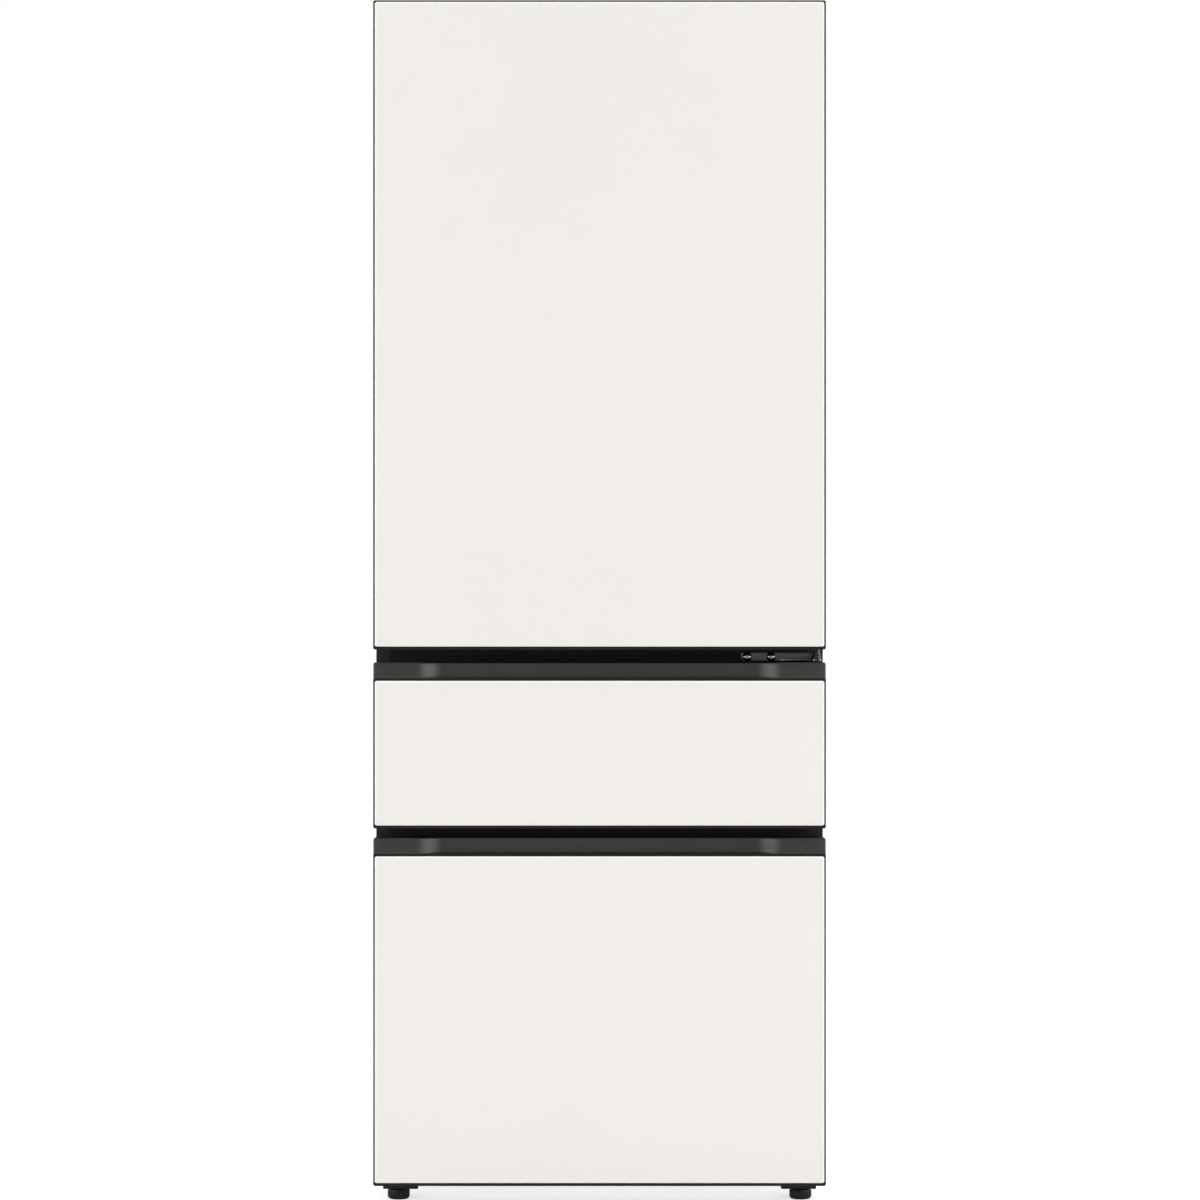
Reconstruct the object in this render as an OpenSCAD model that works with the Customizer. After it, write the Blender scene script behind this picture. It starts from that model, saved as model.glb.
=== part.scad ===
// Stand-type kimchi refrigerator: one hinged door above two drawers.
// Millimetres. The origin is on the floor under the middle of the body,
// +Z is up and the door faces look along -Y.

/* [Cabinet] */
// Width of the cabinet and of its fronts
cabinet_w = 666; // [640:1:700]
// Depth from the door faces to the back of the rear cover
overall_d = 740; // [724:1:790]
// Height of the cabinet's underside above the floor
underside_z = 22; // [21:0.5:26]
// How far the door's top stands above the cabinet's top
door_overhang = 8; // [6:0.5:9]
// Thickness of the foamed side walls
side_wall = 50; // [45:1:58]
// Thickness of the foamed rear wall
rear_wall = 72; // [66:1:90]
// Thickness of the foamed ceiling
ceiling_wall = 52; // [46:1:60]
// Thickness of the foamed floor, with the base tray
floor_wall = 68; // [60:1:74]
// Height of the rails between the compartments
cross_rail_h = 80; // [74:1:86]
// Depth of those rails
cross_rail_d = 15; // [10:1:20]
// Thickness of the outer sheet steel
sheet = 1.2; // [0.8:0.1:1.6]
// Thickness of the moulded inner liners
liner_t = 2; // [1.5:0.1:2.5]
// Width of the shell's folded front and rear edges
flange_w = 20; // [16:1:24]

/* [Base] */
// Height of the pressed base tray
tray_h = 20; // [18:1:24]
// Thickness of the base tray and of the bulkhead
tray_t = 2; // [1.5:0.1:2.5]
// Depth of the machine compartment
machine_d = 250; // [240:1:270]
// Height of the machine compartment's ceiling above the underside
machine_h = 230; // [222:1:244]
// Foam between the machine compartment and the lower room
step_wall = 46; // [40:1:56]
// Distance of the feet and rollers in from the cabinet's sides
foot_inset = 33; // [32:1:45]
// Diameter of a levelling foot
foot_dia = 33; // [28:1:36]
// Diameter of a levelling foot's screw
foot_screw_dia = 10; // [8:1:12]
// Height of the folded plate that a foot screws into
foot_plate_h = 7; // [5:0.5:9]
// Diameter of a rear roller
roller_dia = 30; // [26:1:32]
// Width of a rear roller
roller_w = 20; // [16:1:24]
// Diameter of a roller's axle
axle_dia = 6; // [5:0.5:8]

/* [Fronts] */
// Height of the fronts' lower edge above the floor
fronts_bottom = 31.5; // [28:0.5:36]
// Height of the lower drawer's front
lower_front_h = 512; // [500:1:540]
// Gap between the two drawer fronts
lower_gap = 14; // [12:1:18]
// Height of the upper drawer's front
upper_front_h = 244.3; // [240:0.1:270]
// Gap between the upper drawer and the door
upper_gap = 19; // [18:0.5:22]
// Height of the hinged door
door_h = 955.2; // [940:0.1:1000]
// Depth of a front without its gasket
front_d = 58; // [54:1:62]
// Depth of a gasket
gasket_d = 11.7; // [10:0.1:13]
// Width of a gasket
gasket_w = 12; // [10:0.5:14]
// Distance from a compartment's opening to its gasket
gasket_in = 7; // [5:0.5:9]
// Thickness of the front panels
panel_t = 4; // [3:0.5:5]
// Frame seen beside and above a panel
rim_w = 2.3; // [1.5:0.1:4]
// Frame seen below a panel
bottom_trim = 4.4; // [3:0.1:6]
// How far the panels stand out of their frames
panel_proud = 0.5; // [0.2:0.1:1]
// Radius of the panels' corners
panel_corner_r = 3; // [1:0.5:5]
// Thickness of the fronts' inner liners
front_liner_t = 3; // [2:0.5:4]

/* [Handles] */
// Height of the handle zone above a drawer's panel
handle_zone = 27; // [24:1:32]
// Height of the dark ledge that a handle strip stands on
ledge_h = 3.2; // [2.5:0.1:6]
// Thickness of a handle strip
strip_t = 3; // [2:0.5:4]
// How far a strip's ends lie back from the panel faces
strip_set = 1; // [0.5:0.5:2]
// How far a strip ends short of the front's side
strip_short = 1; // [0.5:0.5:2]
// Depth of the scoop in the middle of a strip
scoop_d = 18; // [12:1:20]
// Straight length at each end of a strip
scoop_start = 58; // [45:1:80]
// Width of the curve that leads into the scoop
scoop_run = 46; // [30:1:60]
// Depth of the finger pocket behind the panel faces
pocket_d = 45; // [42:1:47]
// Distance from the front's side to the finger pocket
pocket_end = 33; // [28:1:42]

/* [Door hinges] */
// Distance from the door's right edge to the pivot
pivot_in = 11; // [10:0.5:14]
// Distance from the door's face back to the pivot
pivot_back = 32; // [30:0.5:36]
// Diameter of the hinge pins
pin_dia = 8; // [6:0.5:10]
// Length of a hinge pin inside the door
pin_in_door = 26; // [20:1:30]
// Thickness of the hinge plates
hinge_t = 4; // [3:0.5:4.5]
// Width of the hinge arms
hinge_arm_w = 18; // [16:1:19]
// Length of the middle hinge's wall plate
wall_plate_w = 118; // [105:1:130]
// Height of the middle hinge's wall plate
wall_plate_h = 12; // [11:0.5:13]
// Diameter of the hinge bolts' heads
bolt_head_dia = 13; // [11:0.5:14]
// Height of the cap over the top hinge
hinge_cap_h = 18; // [15:1:20]

/* [Upper room] */
// Distance from one shelf to the next
shelf_pitch = 214; // [206:1:216]
// Thickness of the shelf glass
glass_t = 5; // [4:0.5:6]
// Distance from the room's opening back to the shelf glass
shelf_setback = 110; // [106:1:125]
// Height of the shelf ledges on the liner
ledge_rib_h = 11; // [8:1:12]
// Width of the shelf ledges on the liner
ledge_rib_w = 11; // [9:1:11]
// Depth of the air duct's cover
duct_d = 50; // [50:1:55]
// Width of the air duct's cover
duct_w = 420; // [380:1:440]
// Width of the touch panel under the ceiling
console_w = 270; // [240:1:320]
// Depth of the touch panel
console_d = 90; // [80:1:96]
// Width of the ceiling lamp
lamp_w = 200; // [160:1:260]
// Depth of the ceiling lamp
lamp_d = 60; // [45:1:80]
// Height of a container's tub in the upper room
tub_h = 165; // [140:1:168]
// Height of a door bin
bin_h = 105; // [90:1:120]
// Depth of a door bin
bin_d = 94; // [80:1:96]
// Distance from one door bin to the next
bin_pitch = 265; // [240:1:268]
// Diameter of the evaporator's fan
evaporator_fan_dia = 104; // [96:1:110]

/* [Drawers] */
// How far a drawer pulls out
drawer_travel = 400; // [360:1:430]
// How much longer the rails are than the travel
rail_reserve = 80; // [60:1:110]
// Height of a fixed rail
rail_h = 46; // [44:1:50]
// Depth of a fixed rail from the liner's wall
rail_w = 13; // [12:0.5:14]
// Sheet thickness of the rails
rail_t = 1.5; // [1.2:0.1:1.6]
// Play between the members of a rail
rail_gap = 0.4; // [0.3:0.1:0.5]
// Wall thickness of a drawer's box
box_t = 2.5; // [2:0.5:3]
// Height of the upper drawer's box
upper_box_h = 146; // [130:1:150]
// Height of the tubs in the upper drawer
upper_drawer_tub_h = 118; // [100:1:122]
// Height of the lower drawer's box
lower_box_h = 345; // [330:1:360]
// Depth of the lower drawer's box above its steps
lower_box_d = 340; // [320:1:346]
// Height of the tubs in the lower drawer
lower_drawer_tub_h = 320; // [290:1:335]

/* [Containers] */
// Wall thickness of the container tubs
tub_t = 2.5; // [2:0.5:3]
// Width of the rim round a tub
tub_rim = 3; // [2:0.5:4]
// Height of a container's lid
lid_h = 20; // [16:1:22]
// Radius of the containers' corners
tub_corner_r = 22; // [15:1:30]
// Space between neighbouring containers
tub_gap = 10; // [8:1:14]

/* [Machine compartment] */
// Diameter of the compressor's casing
compressor_dia = 170; // [155:1:180]
// Height of the compressor's casing
compressor_h = 158; // [140:1:166]
// Distance from the cabinet's side to the compressor's middle
compressor_in = 165; // [150:1:172]
// Height of the compressor's rubber mounts
mount_h = 22; // [18:1:24]
// Diameter of the condenser's fan
condenser_fan_dia = 124; // [110:1:130]
// Width of the condenser's coil
condenser_w = 120; // [105:1:130]
// Height of the drip pan
pan_h = 30; // [24:1:34]
// Distance from the cabinet's top down to the control box
board_drop = 370; // [340:1:420]
// How far the rear cover stands out
cover_bulge = 8; // [6:1:10]

/* [Hidden] */
$fn = 48;

// Clearances
seal_gap = 0.3;          // between a gasket and the cabinet's face
running_gap = 0.08;      // round a pin or a shaft in its bore
bolt_gap = 0.2;          // round a bolt's shank
seat_gap = 0.3;          // between a piece and the seat it may lift off
bin_gap = 0.5;           // between a door bin and the frame beside it
shelf_gap = 15;          // between the shelf glass and the duct cover
box_rear_gap = 21;       // behind the lower drawer's deep box
lamp_gap = 20;           // between the touch panel and the lamp
cut = 1;                 // how far a cutting shape runs past a face

// Planes across the depth
y_front = -overall_d / 2;
y_rear = overall_d / 2;
half_w = cabinet_w / 2;
front_back = y_front + front_d;
face_y = front_back + gasket_d + seal_gap;
shell_rear = y_rear - cover_bulge;
foam_front = face_y + sheet;
foam_rear = shell_rear - 2 * sheet;

// Heights of the fronts
lower_front_top = fronts_bottom + lower_front_h;
upper_front_bottom = lower_front_top + lower_gap;
upper_front_top = upper_front_bottom + upper_front_h;
door_bottom = upper_front_top + upper_gap;
door_top = door_bottom + door_h;
cabinet_top = door_top - door_overhang;

// The three rooms: each ends at a cross rail, the ceiling or the floor
room_x = half_w - side_wall;
room_back = shell_rear - rear_wall;
lower_rail_z = lower_front_top + (lower_gap - cross_rail_h) / 2;
upper_rail_z = upper_front_top + (upper_gap - cross_rail_h) / 2;
low_floor = underside_z + floor_wall;
low_ceiling = lower_rail_z;
mid_floor = lower_rail_z + cross_rail_h;
mid_ceiling = upper_rail_z;
top_floor = upper_rail_z + cross_rail_h;
top_ceiling = cabinet_top - ceiling_wall;
flange_in = half_w - flange_w;

// The base tray and the machine compartment
tray_top = underside_z + tray_h;
bulkhead_y = shell_rear - machine_d;
bulkhead_z = underside_z + machine_h;
step_y = bulkhead_y - step_wall;
step_z = bulkhead_z + 38;
machine_mid_y = (bulkhead_y + shell_rear) / 2;
deck_z = underside_z + tray_t;
deck_half = half_w - sheet;
tray_rib_x = 120;
foot_y = face_y + 10;
roller_y = shell_rear - 40;

// The door's pivot line
pivot_x = half_w - pivot_in;
pivot_y = y_front + pivot_back;
notch_floor = cabinet_top - 1;
arm_half = hinge_arm_w / 2;
middle_arm_z = upper_front_top + 1.2;

// The top hinge's plate and cap on the cabinet
plate_w = 105;
plate_d = 85;
plate_left = half_w - plate_w;
plate_rear = face_y + plate_d;
plate_lead = 14;
cap_side = 13;
cap_left = plate_left - cap_side;
cap_right = half_w - 2;
cap_front = face_y + 4;
cap_rear = plate_rear + 10;
cap_t = 2;
top_bolt_in = 12;
top_bolt_pitch = 40;
top_bolt_x = plate_left + top_bolt_in;
top_bolt_y = face_y + 2 * plate_lead;
top_bolt_spots = [
    [top_bolt_x, top_bolt_y],
    [top_bolt_x + top_bolt_pitch, top_bolt_y],
    [top_bolt_x + top_bolt_pitch / 2, top_bolt_y + top_bolt_pitch]];
bolt_dia = 6;
bolt_len = 14;
wall_plate_in = 4;
middle_bolt_in = 9;
middle_bolt_pitch = 36;
middle_plate_x = half_w - wall_plate_in - wall_plate_w;
middle_bolt_x = middle_plate_x + middle_bolt_in;
middle_bolt_spots = [middle_bolt_x, middle_bolt_x + middle_bolt_pitch];
middle_bolt_z = middle_arm_z + wall_plate_h / 2;
wall_plate_t = 3;

// Grip groove under the door, in from its left side and back from its face
grip_in = 33;
grip_w = 200;
grip_back = 14;
grip_d = 24;
grip_h = 20;

// Gasket rings stand outside a room's opening
gasket_x = room_x + gasket_in;

// Parts that hang on the fronts
dike_x = room_x - 21;
dike_w = 12;
dike_d = 41;
dike_end = 30;
bin_t = 2.5;
bin_corner_r = 10;
pad_x = room_x - 37;
pad_d = 11;

// Shelves, the duct and what stands on the shelves
duct_front = room_back - duct_d;
shelf_front = face_y + shelf_setback;
shelf_d = duct_front - shelf_gap - shelf_front;
duct_t = 3;
duct_z0 = top_floor + 28;
duct_z1 = top_ceiling - 26;
trim_d = 14;
trim_h = 15;
trim_over = 5;
tub_top_w = room_x - ledge_rib_w - 4 - tub_gap / 2;
glass_x = room_x - 3;
console_in = 40;
console_h = 20;
lamp_front = face_y + console_in + console_d + lamp_gap;
lamp_h = 7;
lamp_wall = 4;
tub_front = shelf_front + trim_d - trim_over + 1;
tub_d = shelf_d - 2 * (trim_d - trim_over + 1);
clip_len = 90;

// Evaporator and its fan stand between the duct cover and the rear wall
coil_pitch = 25;
coil_rows = 8;
coil_z0 = duct_z0 + 30;
coil_h = coil_rows * coil_pitch;
coil_half = 160;
coil_d = 34;
fan_plane_gap = 4;
fan_depth = 18;
fan_cap_t = 2;
ring_t = 4;
ring_gap = 4;
ring_len = 30;
motor_len = 44;
evaporator_fan_z = coil_z0 + coil_h + evaporator_fan_dia / 2 + 30;
shaft_dia = 6;

// Rails: three nested members on each side
rail_len = drawer_travel + rail_reserve;
slide_h = rail_h - 2 * (rail_t + rail_gap);
mover_h = slide_h - 2 * (rail_t + rail_gap);
mover_x = room_x - rail_w - rail_gap - rail_t - 0.5;
rail_front = face_y + 8;
rail_rise = rail_t + rail_gap;
mover_lip = 18;
upper_rails_z = mid_floor + 3;
lower_rails_z = step_z + 12;
box_x = mover_x - 1.5;
box_front = face_y + 5;
upper_box_z = upper_rails_z + 2 * rail_rise + rail_t;
lower_ledge_z = lower_rails_z + 2 * rail_rise + rail_t;
lower_box_z = low_floor + 9;
lower_box_x = box_x - mover_lip - 1;
deep_box_rear = step_y - box_rear_gap;
upper_box_d = rail_len - 6;

// Machine compartment's pieces, from left to right
pan_left = foot_inset + roller_w / 2 + 5 - half_w;
pan_w = 172;
pan_depth = 210;
condenser_fan_x = pan_left + pan_w + 12;
fan_axis_z = deck_z + 112;
condenser_rows = 5;
condenser_pitch = 30;
condenser_lift = 8;
condenser_foot = 22;
fan_stand_w = 100;
compressor_x = half_w - compressor_in;
mount_dx = 78;
mount_dy = 62;
mount_r = 13;
leg_plate_t = 3;

// Back of the cabinet
board_x = 110;
board_z = cabinet_top - board_drop;
board_h = 160;
board_depth = 34;
gland_in = 240;
gland_up = 60;
gland_x = gland_in - half_w;
gland_z = bulkhead_z + gland_up;
gland_r = 10;
cord_r = 4.5;
cover_margin = 3;
cover_rim = 16;
cover_sheet = 1.5;
cover_screw_z = [underside_z + 16, bulkhead_z - 10];
screw_dia = 4;
screw_head_dia = 8;
screw_len = 8;

// A box from one corner to the other
module block(a, b) {
    translate(a) cube(b - a);
}

// Points of an arc about a centre
function arc(c, r, a0, a1, n = 6) =
    [for (i = [0:n]) c + r * [cos(a0 + (a1 - a0) * i / n), sin(a0 + (a1 - a0) * i / n)]];

// A rectangle with rounded corners
function round_rect(x0, y0, x1, y1, r) = concat(
    arc([x1 - r, y1 - r], r, 0, 90),
    arc([x0 + r, y1 - r], r, 90, 180),
    arc([x0 + r, y0 + r], r, 180, 270),
    arc([x1 - r, y0 + r], r, 270, 360));

// A box whose upright edges are rounded
module upright_block(a, b, r) {
    translate([0, 0, a.z])
        linear_extrude(b.z - a.z) polygon(round_rect(a.x, a.y, b.x, b.y, r));
}

// A box whose corners are rounded as seen from the front
module facing_block(a, b, r) {
    translate([0, b.y, 0]) rotate([90, 0, 0])
        linear_extrude(b.y - a.y) polygon(round_rect(a.x, a.z, b.x, b.z, r));
}

// A rectangular frame that faces the front, w wide all round
module facing_ring(a, b, w) {
    difference() {
        block(a, b);
        block([a.x + w, a.y - cut, a.z + w], [b.x - w, b.y + cut, b.z - w]);
    }
}

// The same piece on the right and, mirrored, on the left
module both_sides() {
    children();
    mirror([1, 0, 0]) children();
}

// Folded steel wrapper: both sides and the top, with folded edges
module outer_shell() {
    color("dimgray")
    difference() {
        block([-half_w, face_y, underside_z], [half_w, shell_rear, cabinet_top]);
        block([-half_w + sheet, face_y + sheet, underside_z - cut],
              [half_w - sheet, shell_rear - sheet, cabinet_top - sheet]);
        block([-flange_in, face_y - cut, underside_z - cut],
              [flange_in, shell_rear + cut, cabinet_top - flange_w]);
        for (spot = top_bolt_spots)
            translate([spot.x, spot.y, cabinet_top - sheet - cut])
                cylinder(r = bolt_dia / 2 + bolt_gap, h = sheet + 2 * cut);
        cover_screw_holes(screw_dia / 2 + bolt_gap);
    }
}

// Steel sheet that closes the back above the machine compartment
module back_panel() {
    color("silver")
    difference() {
        block([-deck_half, foam_rear, bulkhead_z + tray_t],
              [deck_half, foam_rear + sheet, cabinet_top - sheet]);
        block([-board_x, foam_rear - cut, board_z],
              [board_x, foam_rear + sheet + cut, board_z + board_h]);
        translate([gland_x, foam_rear - cut, gland_z]) rotate([-90, 0, 0])
            cylinder(r = gland_r + bolt_gap, h = sheet + 2 * cut);
        board_screw_holes(screw_dia / 2 + bolt_gap);
    }
}

// Pressed tray with the bulkhead of the machine compartment
module base_frame() {
    tray_front = foam_front;
    tray_rear = foam_rear + sheet;
    color("darkgray")
    difference() {
        union() {
            difference() {
                block([-deck_half, tray_front, underside_z], [deck_half, tray_rear, tray_top]);
                block([-deck_half + tray_t, tray_front + tray_t, deck_z],
                      [deck_half - tray_t, tray_rear - tray_t, tray_top + cut]);
            }
            block([-deck_half, bulkhead_y, deck_z], [deck_half, bulkhead_y + tray_t, bulkhead_z]);
            block([-deck_half, bulkhead_y, bulkhead_z],
                  [deck_half, foam_rear, bulkhead_z + tray_t]);
            for (x = [-tray_rib_x, tray_rib_x])
                block([x - 1, tray_front, deck_z], [x + 1, bulkhead_y, tray_top]);
        }
        both_sides() {
            translate([half_w - foot_inset, foot_y, underside_z - cut])
                cylinder(r = foot_screw_dia / 2 + 1, h = tray_t + 2 * cut);
            block([half_w - foot_inset - roller_w / 2 - 2, roller_y - roller_dia / 2 - 2,
                   underside_z - cut],
                  [half_w - foot_inset + roller_w / 2 + 2, roller_y + roller_dia / 2 + 2,
                   deck_z + cut]);
        }
        cover_screw_holes(screw_dia / 2 + bolt_gap);
    }
}

// Foamed insulation between the shell and the liners
module insulation_foam() {
    color("khaki")
    difference() {
        block([-deck_half, foam_front, tray_top], [deck_half, foam_rear, cabinet_top - sheet]);
        block([-deck_half - cut, bulkhead_y, tray_top - cut],
              [deck_half + cut, foam_rear + cut, bulkhead_z + tray_t]);
        room_space(top_floor, top_ceiling, liner_t);
        room_space(mid_floor, mid_ceiling, liner_t);
        lower_room_space(liner_t);
        for (z = [lower_rail_z, upper_rail_z])
            block([-flange_in, foam_front - cut, z + liner_t],
                  [flange_in, face_y + cross_rail_d, z + cross_rail_h - liner_t]);
        block([-board_x, foam_rear - board_depth, board_z],
              [board_x, foam_rear + cut, board_z + board_h]);
        translate([gland_x, foam_rear - 15, gland_z]) rotate([-90, 0, 0])
            cylinder(r = gland_r + bolt_gap, h = 15 + cut);
        for (spot = top_bolt_spots)
            translate([spot.x, spot.y, cabinet_top - bolt_len])
                cylinder(r = bolt_dia / 2 + bolt_gap, h = bolt_len);
        for (x = middle_bolt_spots)
            translate([x, face_y, middle_bolt_z]) rotate([-90, 0, 0])
                cylinder(r = bolt_dia / 2 + bolt_gap, h = bolt_len + 1);
        board_screw_holes(screw_dia / 2 + bolt_gap);
    }
}

// The space of a plain room, grown by t on its walls
module room_space(z0, z1, t) {
    block([-room_x - t, foam_front - cut, z0 - t], [room_x + t, room_back + t, z1 + t]);
}

// The space of the lower room, which steps over the machine compartment
module lower_room_space(t) {
    block([-room_x - t, foam_front - cut, low_floor - t],
          [room_x + t, step_y + t, low_ceiling + t]);
    block([-room_x - t, foam_front - cut, step_z - t],
          [room_x + t, room_back + t, low_ceiling + t]);
}

// Flat face of a liner between its room and the shell's folded edge
module liner_face(z0, z1, room_z0, room_z1) {
    difference() {
        block([-flange_in, face_y, z0], [flange_in, foam_front, z1]);
        block([-room_x, face_y - cut, room_z0], [room_x, foam_front + cut, room_z1]);
    }
}

// Liner of the upper room, with its shelf ledges
module upper_liner() {
    color("whitesmoke") {
        difference() {
            intersection() {
                room_space(top_floor, top_ceiling, liner_t);
                block([-half_w, foam_front, 0], [half_w, y_rear, door_top]);
            }
            room_space(top_floor, top_ceiling, 0);
        }
        liner_face(top_floor, cabinet_top - flange_w, top_floor - cut, top_ceiling);
        both_sides()
            for (i = [1:3])
                block([room_x - ledge_rib_w, shelf_front + 6, shelf_z(i) - glass_t - ledge_rib_h],
                      [room_x, shelf_front + shelf_d - 6, shelf_z(i) - glass_t]);
    }
}

function shelf_z(i) = top_floor + i * shelf_pitch;

// Liners of the two drawer rooms
module drawer_liners() {
    color("whitesmoke") {
        difference() {
            intersection() {
                room_space(mid_floor, mid_ceiling, liner_t);
                block([-half_w, foam_front, 0], [half_w, y_rear, door_top]);
            }
            room_space(mid_floor, mid_ceiling, 0);
        }
        liner_face(mid_floor, mid_ceiling, mid_floor - cut, mid_ceiling + cut);
        difference() {
            intersection() {
                lower_room_space(liner_t);
                block([-half_w, foam_front, 0], [half_w, y_rear, door_top]);
            }
            lower_room_space(0);
        }
        liner_face(tray_top, low_ceiling, low_floor, low_ceiling + cut);
    }
}

// Painted steel rails across the cabinet's front, between the rooms
module cross_rails() {
    color([0.16, 0.16, 0.17])
    difference() {
        for (z = [lower_rail_z, upper_rail_z])
            difference() {
                union() {
                    block([-flange_in, face_y, z], [flange_in, foam_front, z + cross_rail_h]);
                    block([-flange_in, foam_front, z + liner_t],
                          [flange_in, face_y + cross_rail_d, z + cross_rail_h - liner_t]);
                }
                block([-flange_in - cut, foam_front, z + liner_t + sheet],
                      [flange_in + cut, face_y + cross_rail_d + cut,
                       z + cross_rail_h - liner_t - sheet]);
            }
        for (x = middle_bolt_spots)
            translate([x, face_y - cut, middle_bolt_z]) rotate([-90, 0, 0])
                cylinder(r = bolt_dia / 2 + bolt_gap, h = sheet + 2 * cut);
    }
}

// Hollow cover of the air duct on the upper room's rear wall
module duct_cover() {
    slot_w = duct_w / 2 - 50;
    color("lightgray")
    difference() {
        facing_block([-duct_w / 2, duct_front, duct_z0], [duct_w / 2, room_back, duct_z1], 12);
        block([-duct_w / 2 + duct_t, duct_front + duct_t, duct_z0 + duct_t],
              [duct_w / 2 - duct_t, room_back + cut, duct_z1 - duct_t]);
        for (i = [0:3])
            for (k = [0:1])
                for (side = [-1, 1])
                    slot([side * (slot_w / 2 + 20), shelf_z(i) + 150 + 14 * k], slot_w);
        for (k = [0:2])
            for (side = [-1, 1])
                slot([side * (slot_w / 2 + 20), duct_z0 + 12 + 12 * k], slot_w);
    }
}

// One air slot through the duct cover's front
module slot(centre, w) {
    block([centre.x - w / 2, duct_front - cut, centre.y - 3],
          [centre.x + w / 2, duct_front + duct_t + cut, centre.y + 3]);
}

// Tubes along X through flat fins, with an end plate at each side
module finned_coil(half_len, depth, rows, cols, pitch, tube_r, fins, fin_t) {
    height = rows * pitch;
    col_gap = depth / cols;
    for (i = [1:fins])
        translate([half_len * (2 * i / (fins + 1) - 1) - fin_t / 2, -depth / 2, 0])
            cube([fin_t, depth, height]);
    for (r = [0:rows - 1])
        for (c = [0:cols - 1])
            translate([-half_len, (c + 0.5) * col_gap - depth / 2, (r + 0.5) * pitch])
                rotate([0, 90, 0]) cylinder(r = tube_r, h = 2 * half_len);
    for (r = [0:rows - 2])
        for (c = [0:cols - 1])
            translate([half_len * (r % 2 == 0 ? 1 : -1), (c + 0.5) * col_gap - depth / 2,
                       (r + 1) * pitch])
                rotate([90, 0, 0]) rotate([0, 0, r % 2 == 0 ? -90 : 90])
                    rotate_extrude(angle = 180) translate([pitch / 2, 0]) circle(r = tube_r);
}

// Fin-and-tube evaporator behind the duct cover
module evaporator() {
    color("silver")
    translate([0, duct_front + duct_t + 7 + coil_d / 2, coil_z0]) {
        finned_coil(coil_half - 14, coil_d - 4, coil_rows, 1, coil_pitch, 4, 18, 1);
        for (side = [-1, 1])
            translate([side * (coil_half - 22) - 1, -coil_d / 2, 0])
                cube([2, room_back - duct_front - duct_t - 7, coil_h]);
    }
}

// A bladed wheel about +Z, with the bore for its shaft
module fan_wheel(dia, hub_r, depth, blades) {
    difference() {
        union() {
            cylinder(r = hub_r, h = depth);
            for (i = [0:blades - 1])
                intersection() {
                    cylinder(r = dia / 2, h = depth);
                    rotate([0, 0, i * 360 / blades])
                        translate([hub_r - 3, 0, depth / 2]) rotate([38, 0, 0])
                            translate([0, -depth, -0.8]) cube([dia / 2, 2 * depth, 1.6]);
                }
        }
        translate([0, 0, fan_cap_t]) cylinder(r = shaft_dia / 2 + running_gap, h = depth);
    }
}

// A fan's motor, its shaft and the ring round the wheel, about +Z
module fan_motor(dia, motor_r) {
    ring_r = dia / 2 + ring_gap;
    motor_z = ring_len - 4;
    shaft_z = fan_plane_gap + fan_cap_t + seat_gap;
    difference() {
        cylinder(r = ring_r + ring_t, h = ring_len);
        translate([0, 0, -cut]) cylinder(r = ring_r, h = ring_len + 2 * cut);
    }
    translate([0, 0, motor_z]) cylinder(r = motor_r, h = motor_len - motor_z);
    translate([0, 0, shaft_z]) cylinder(r = shaft_dia / 2, h = motor_z - shaft_z + 2);
    for (i = [0:2])
        rotate([0, 0, 90 + 120 * i])
            translate([motor_r - 2, -3, motor_z]) cube([ring_r - motor_r + 4, 6, 4]);
}

// Places a child that is built about +Z at the evaporator's fan
module at_evaporator_fan() {
    translate([0, room_back - motor_len, evaporator_fan_z]) rotate([-90, 0, 0]) children();
}

// Places a child that is built about +Z at the condenser's fan
module at_condenser_fan() {
    translate([condenser_fan_x, machine_mid_y, fan_axis_z]) rotate([0, 90, 0]) children();
}

// Fan that drives the cold air up the duct
module evaporator_fan() {
    color("white")
    at_evaporator_fan() translate([0, 0, fan_plane_gap])
        fan_wheel(evaporator_fan_dia, 18, fan_depth, 7);
}

// Fan that draws room air through the condenser
module condenser_fan() {
    color("white")
    at_condenser_fan() translate([0, 0, fan_plane_gap])
        fan_wheel(condenser_fan_dia, 20, fan_depth, 5);
}

// Motors of both fans in their rings; the lower one stands on the tray
module fan_motors() {
    color("dimgray") {
        at_evaporator_fan() fan_motor(evaporator_fan_dia, 20);
        at_condenser_fan() fan_motor(condenser_fan_dia, 24);
        ring_out = condenser_fan_dia / 2 + ring_gap + ring_t;
        difference() {
            block([condenser_fan_x, machine_mid_y - fan_stand_w / 2, deck_z],
                  [condenser_fan_x + ring_len, machine_mid_y + fan_stand_w / 2, fan_axis_z]);
            translate([condenser_fan_x - cut, machine_mid_y, fan_axis_z]) rotate([0, 90, 0])
                cylinder(r = ring_out - 1, h = ring_len + 2 * cut);
        }
    }
}

// Touch control panel under the upper room's ceiling
module control_panel() {
    color("black")
    facing_block([-console_w / 2, face_y + console_in, top_ceiling - console_h],
                 [console_w / 2, face_y + console_in + console_d, top_ceiling], 4);
}

// Diffuser over the ceiling lamp
module lamp_lens() {
    rear = lamp_front + lamp_d;
    color("ivory")
    difference() {
        upright_block([-lamp_w / 2, lamp_front, top_ceiling - lamp_h],
                      [lamp_w / 2, rear, top_ceiling], 8);
        block([-lamp_w / 2 + lamp_wall, lamp_front + lamp_wall, top_ceiling - lamp_h + 2],
              [lamp_w / 2 - lamp_wall, rear - lamp_wall, top_ceiling + cut]);
    }
}

// Glass shelves, which rest on the liner's ledges
module shelf_glass() {
    color([0.75, 0.85, 0.85, 0.5])
    for (i = [1:3])
        block([-glass_x, shelf_front, shelf_z(i) - glass_t],
              [glass_x, shelf_front + shelf_d, shelf_z(i)]);
}

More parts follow.
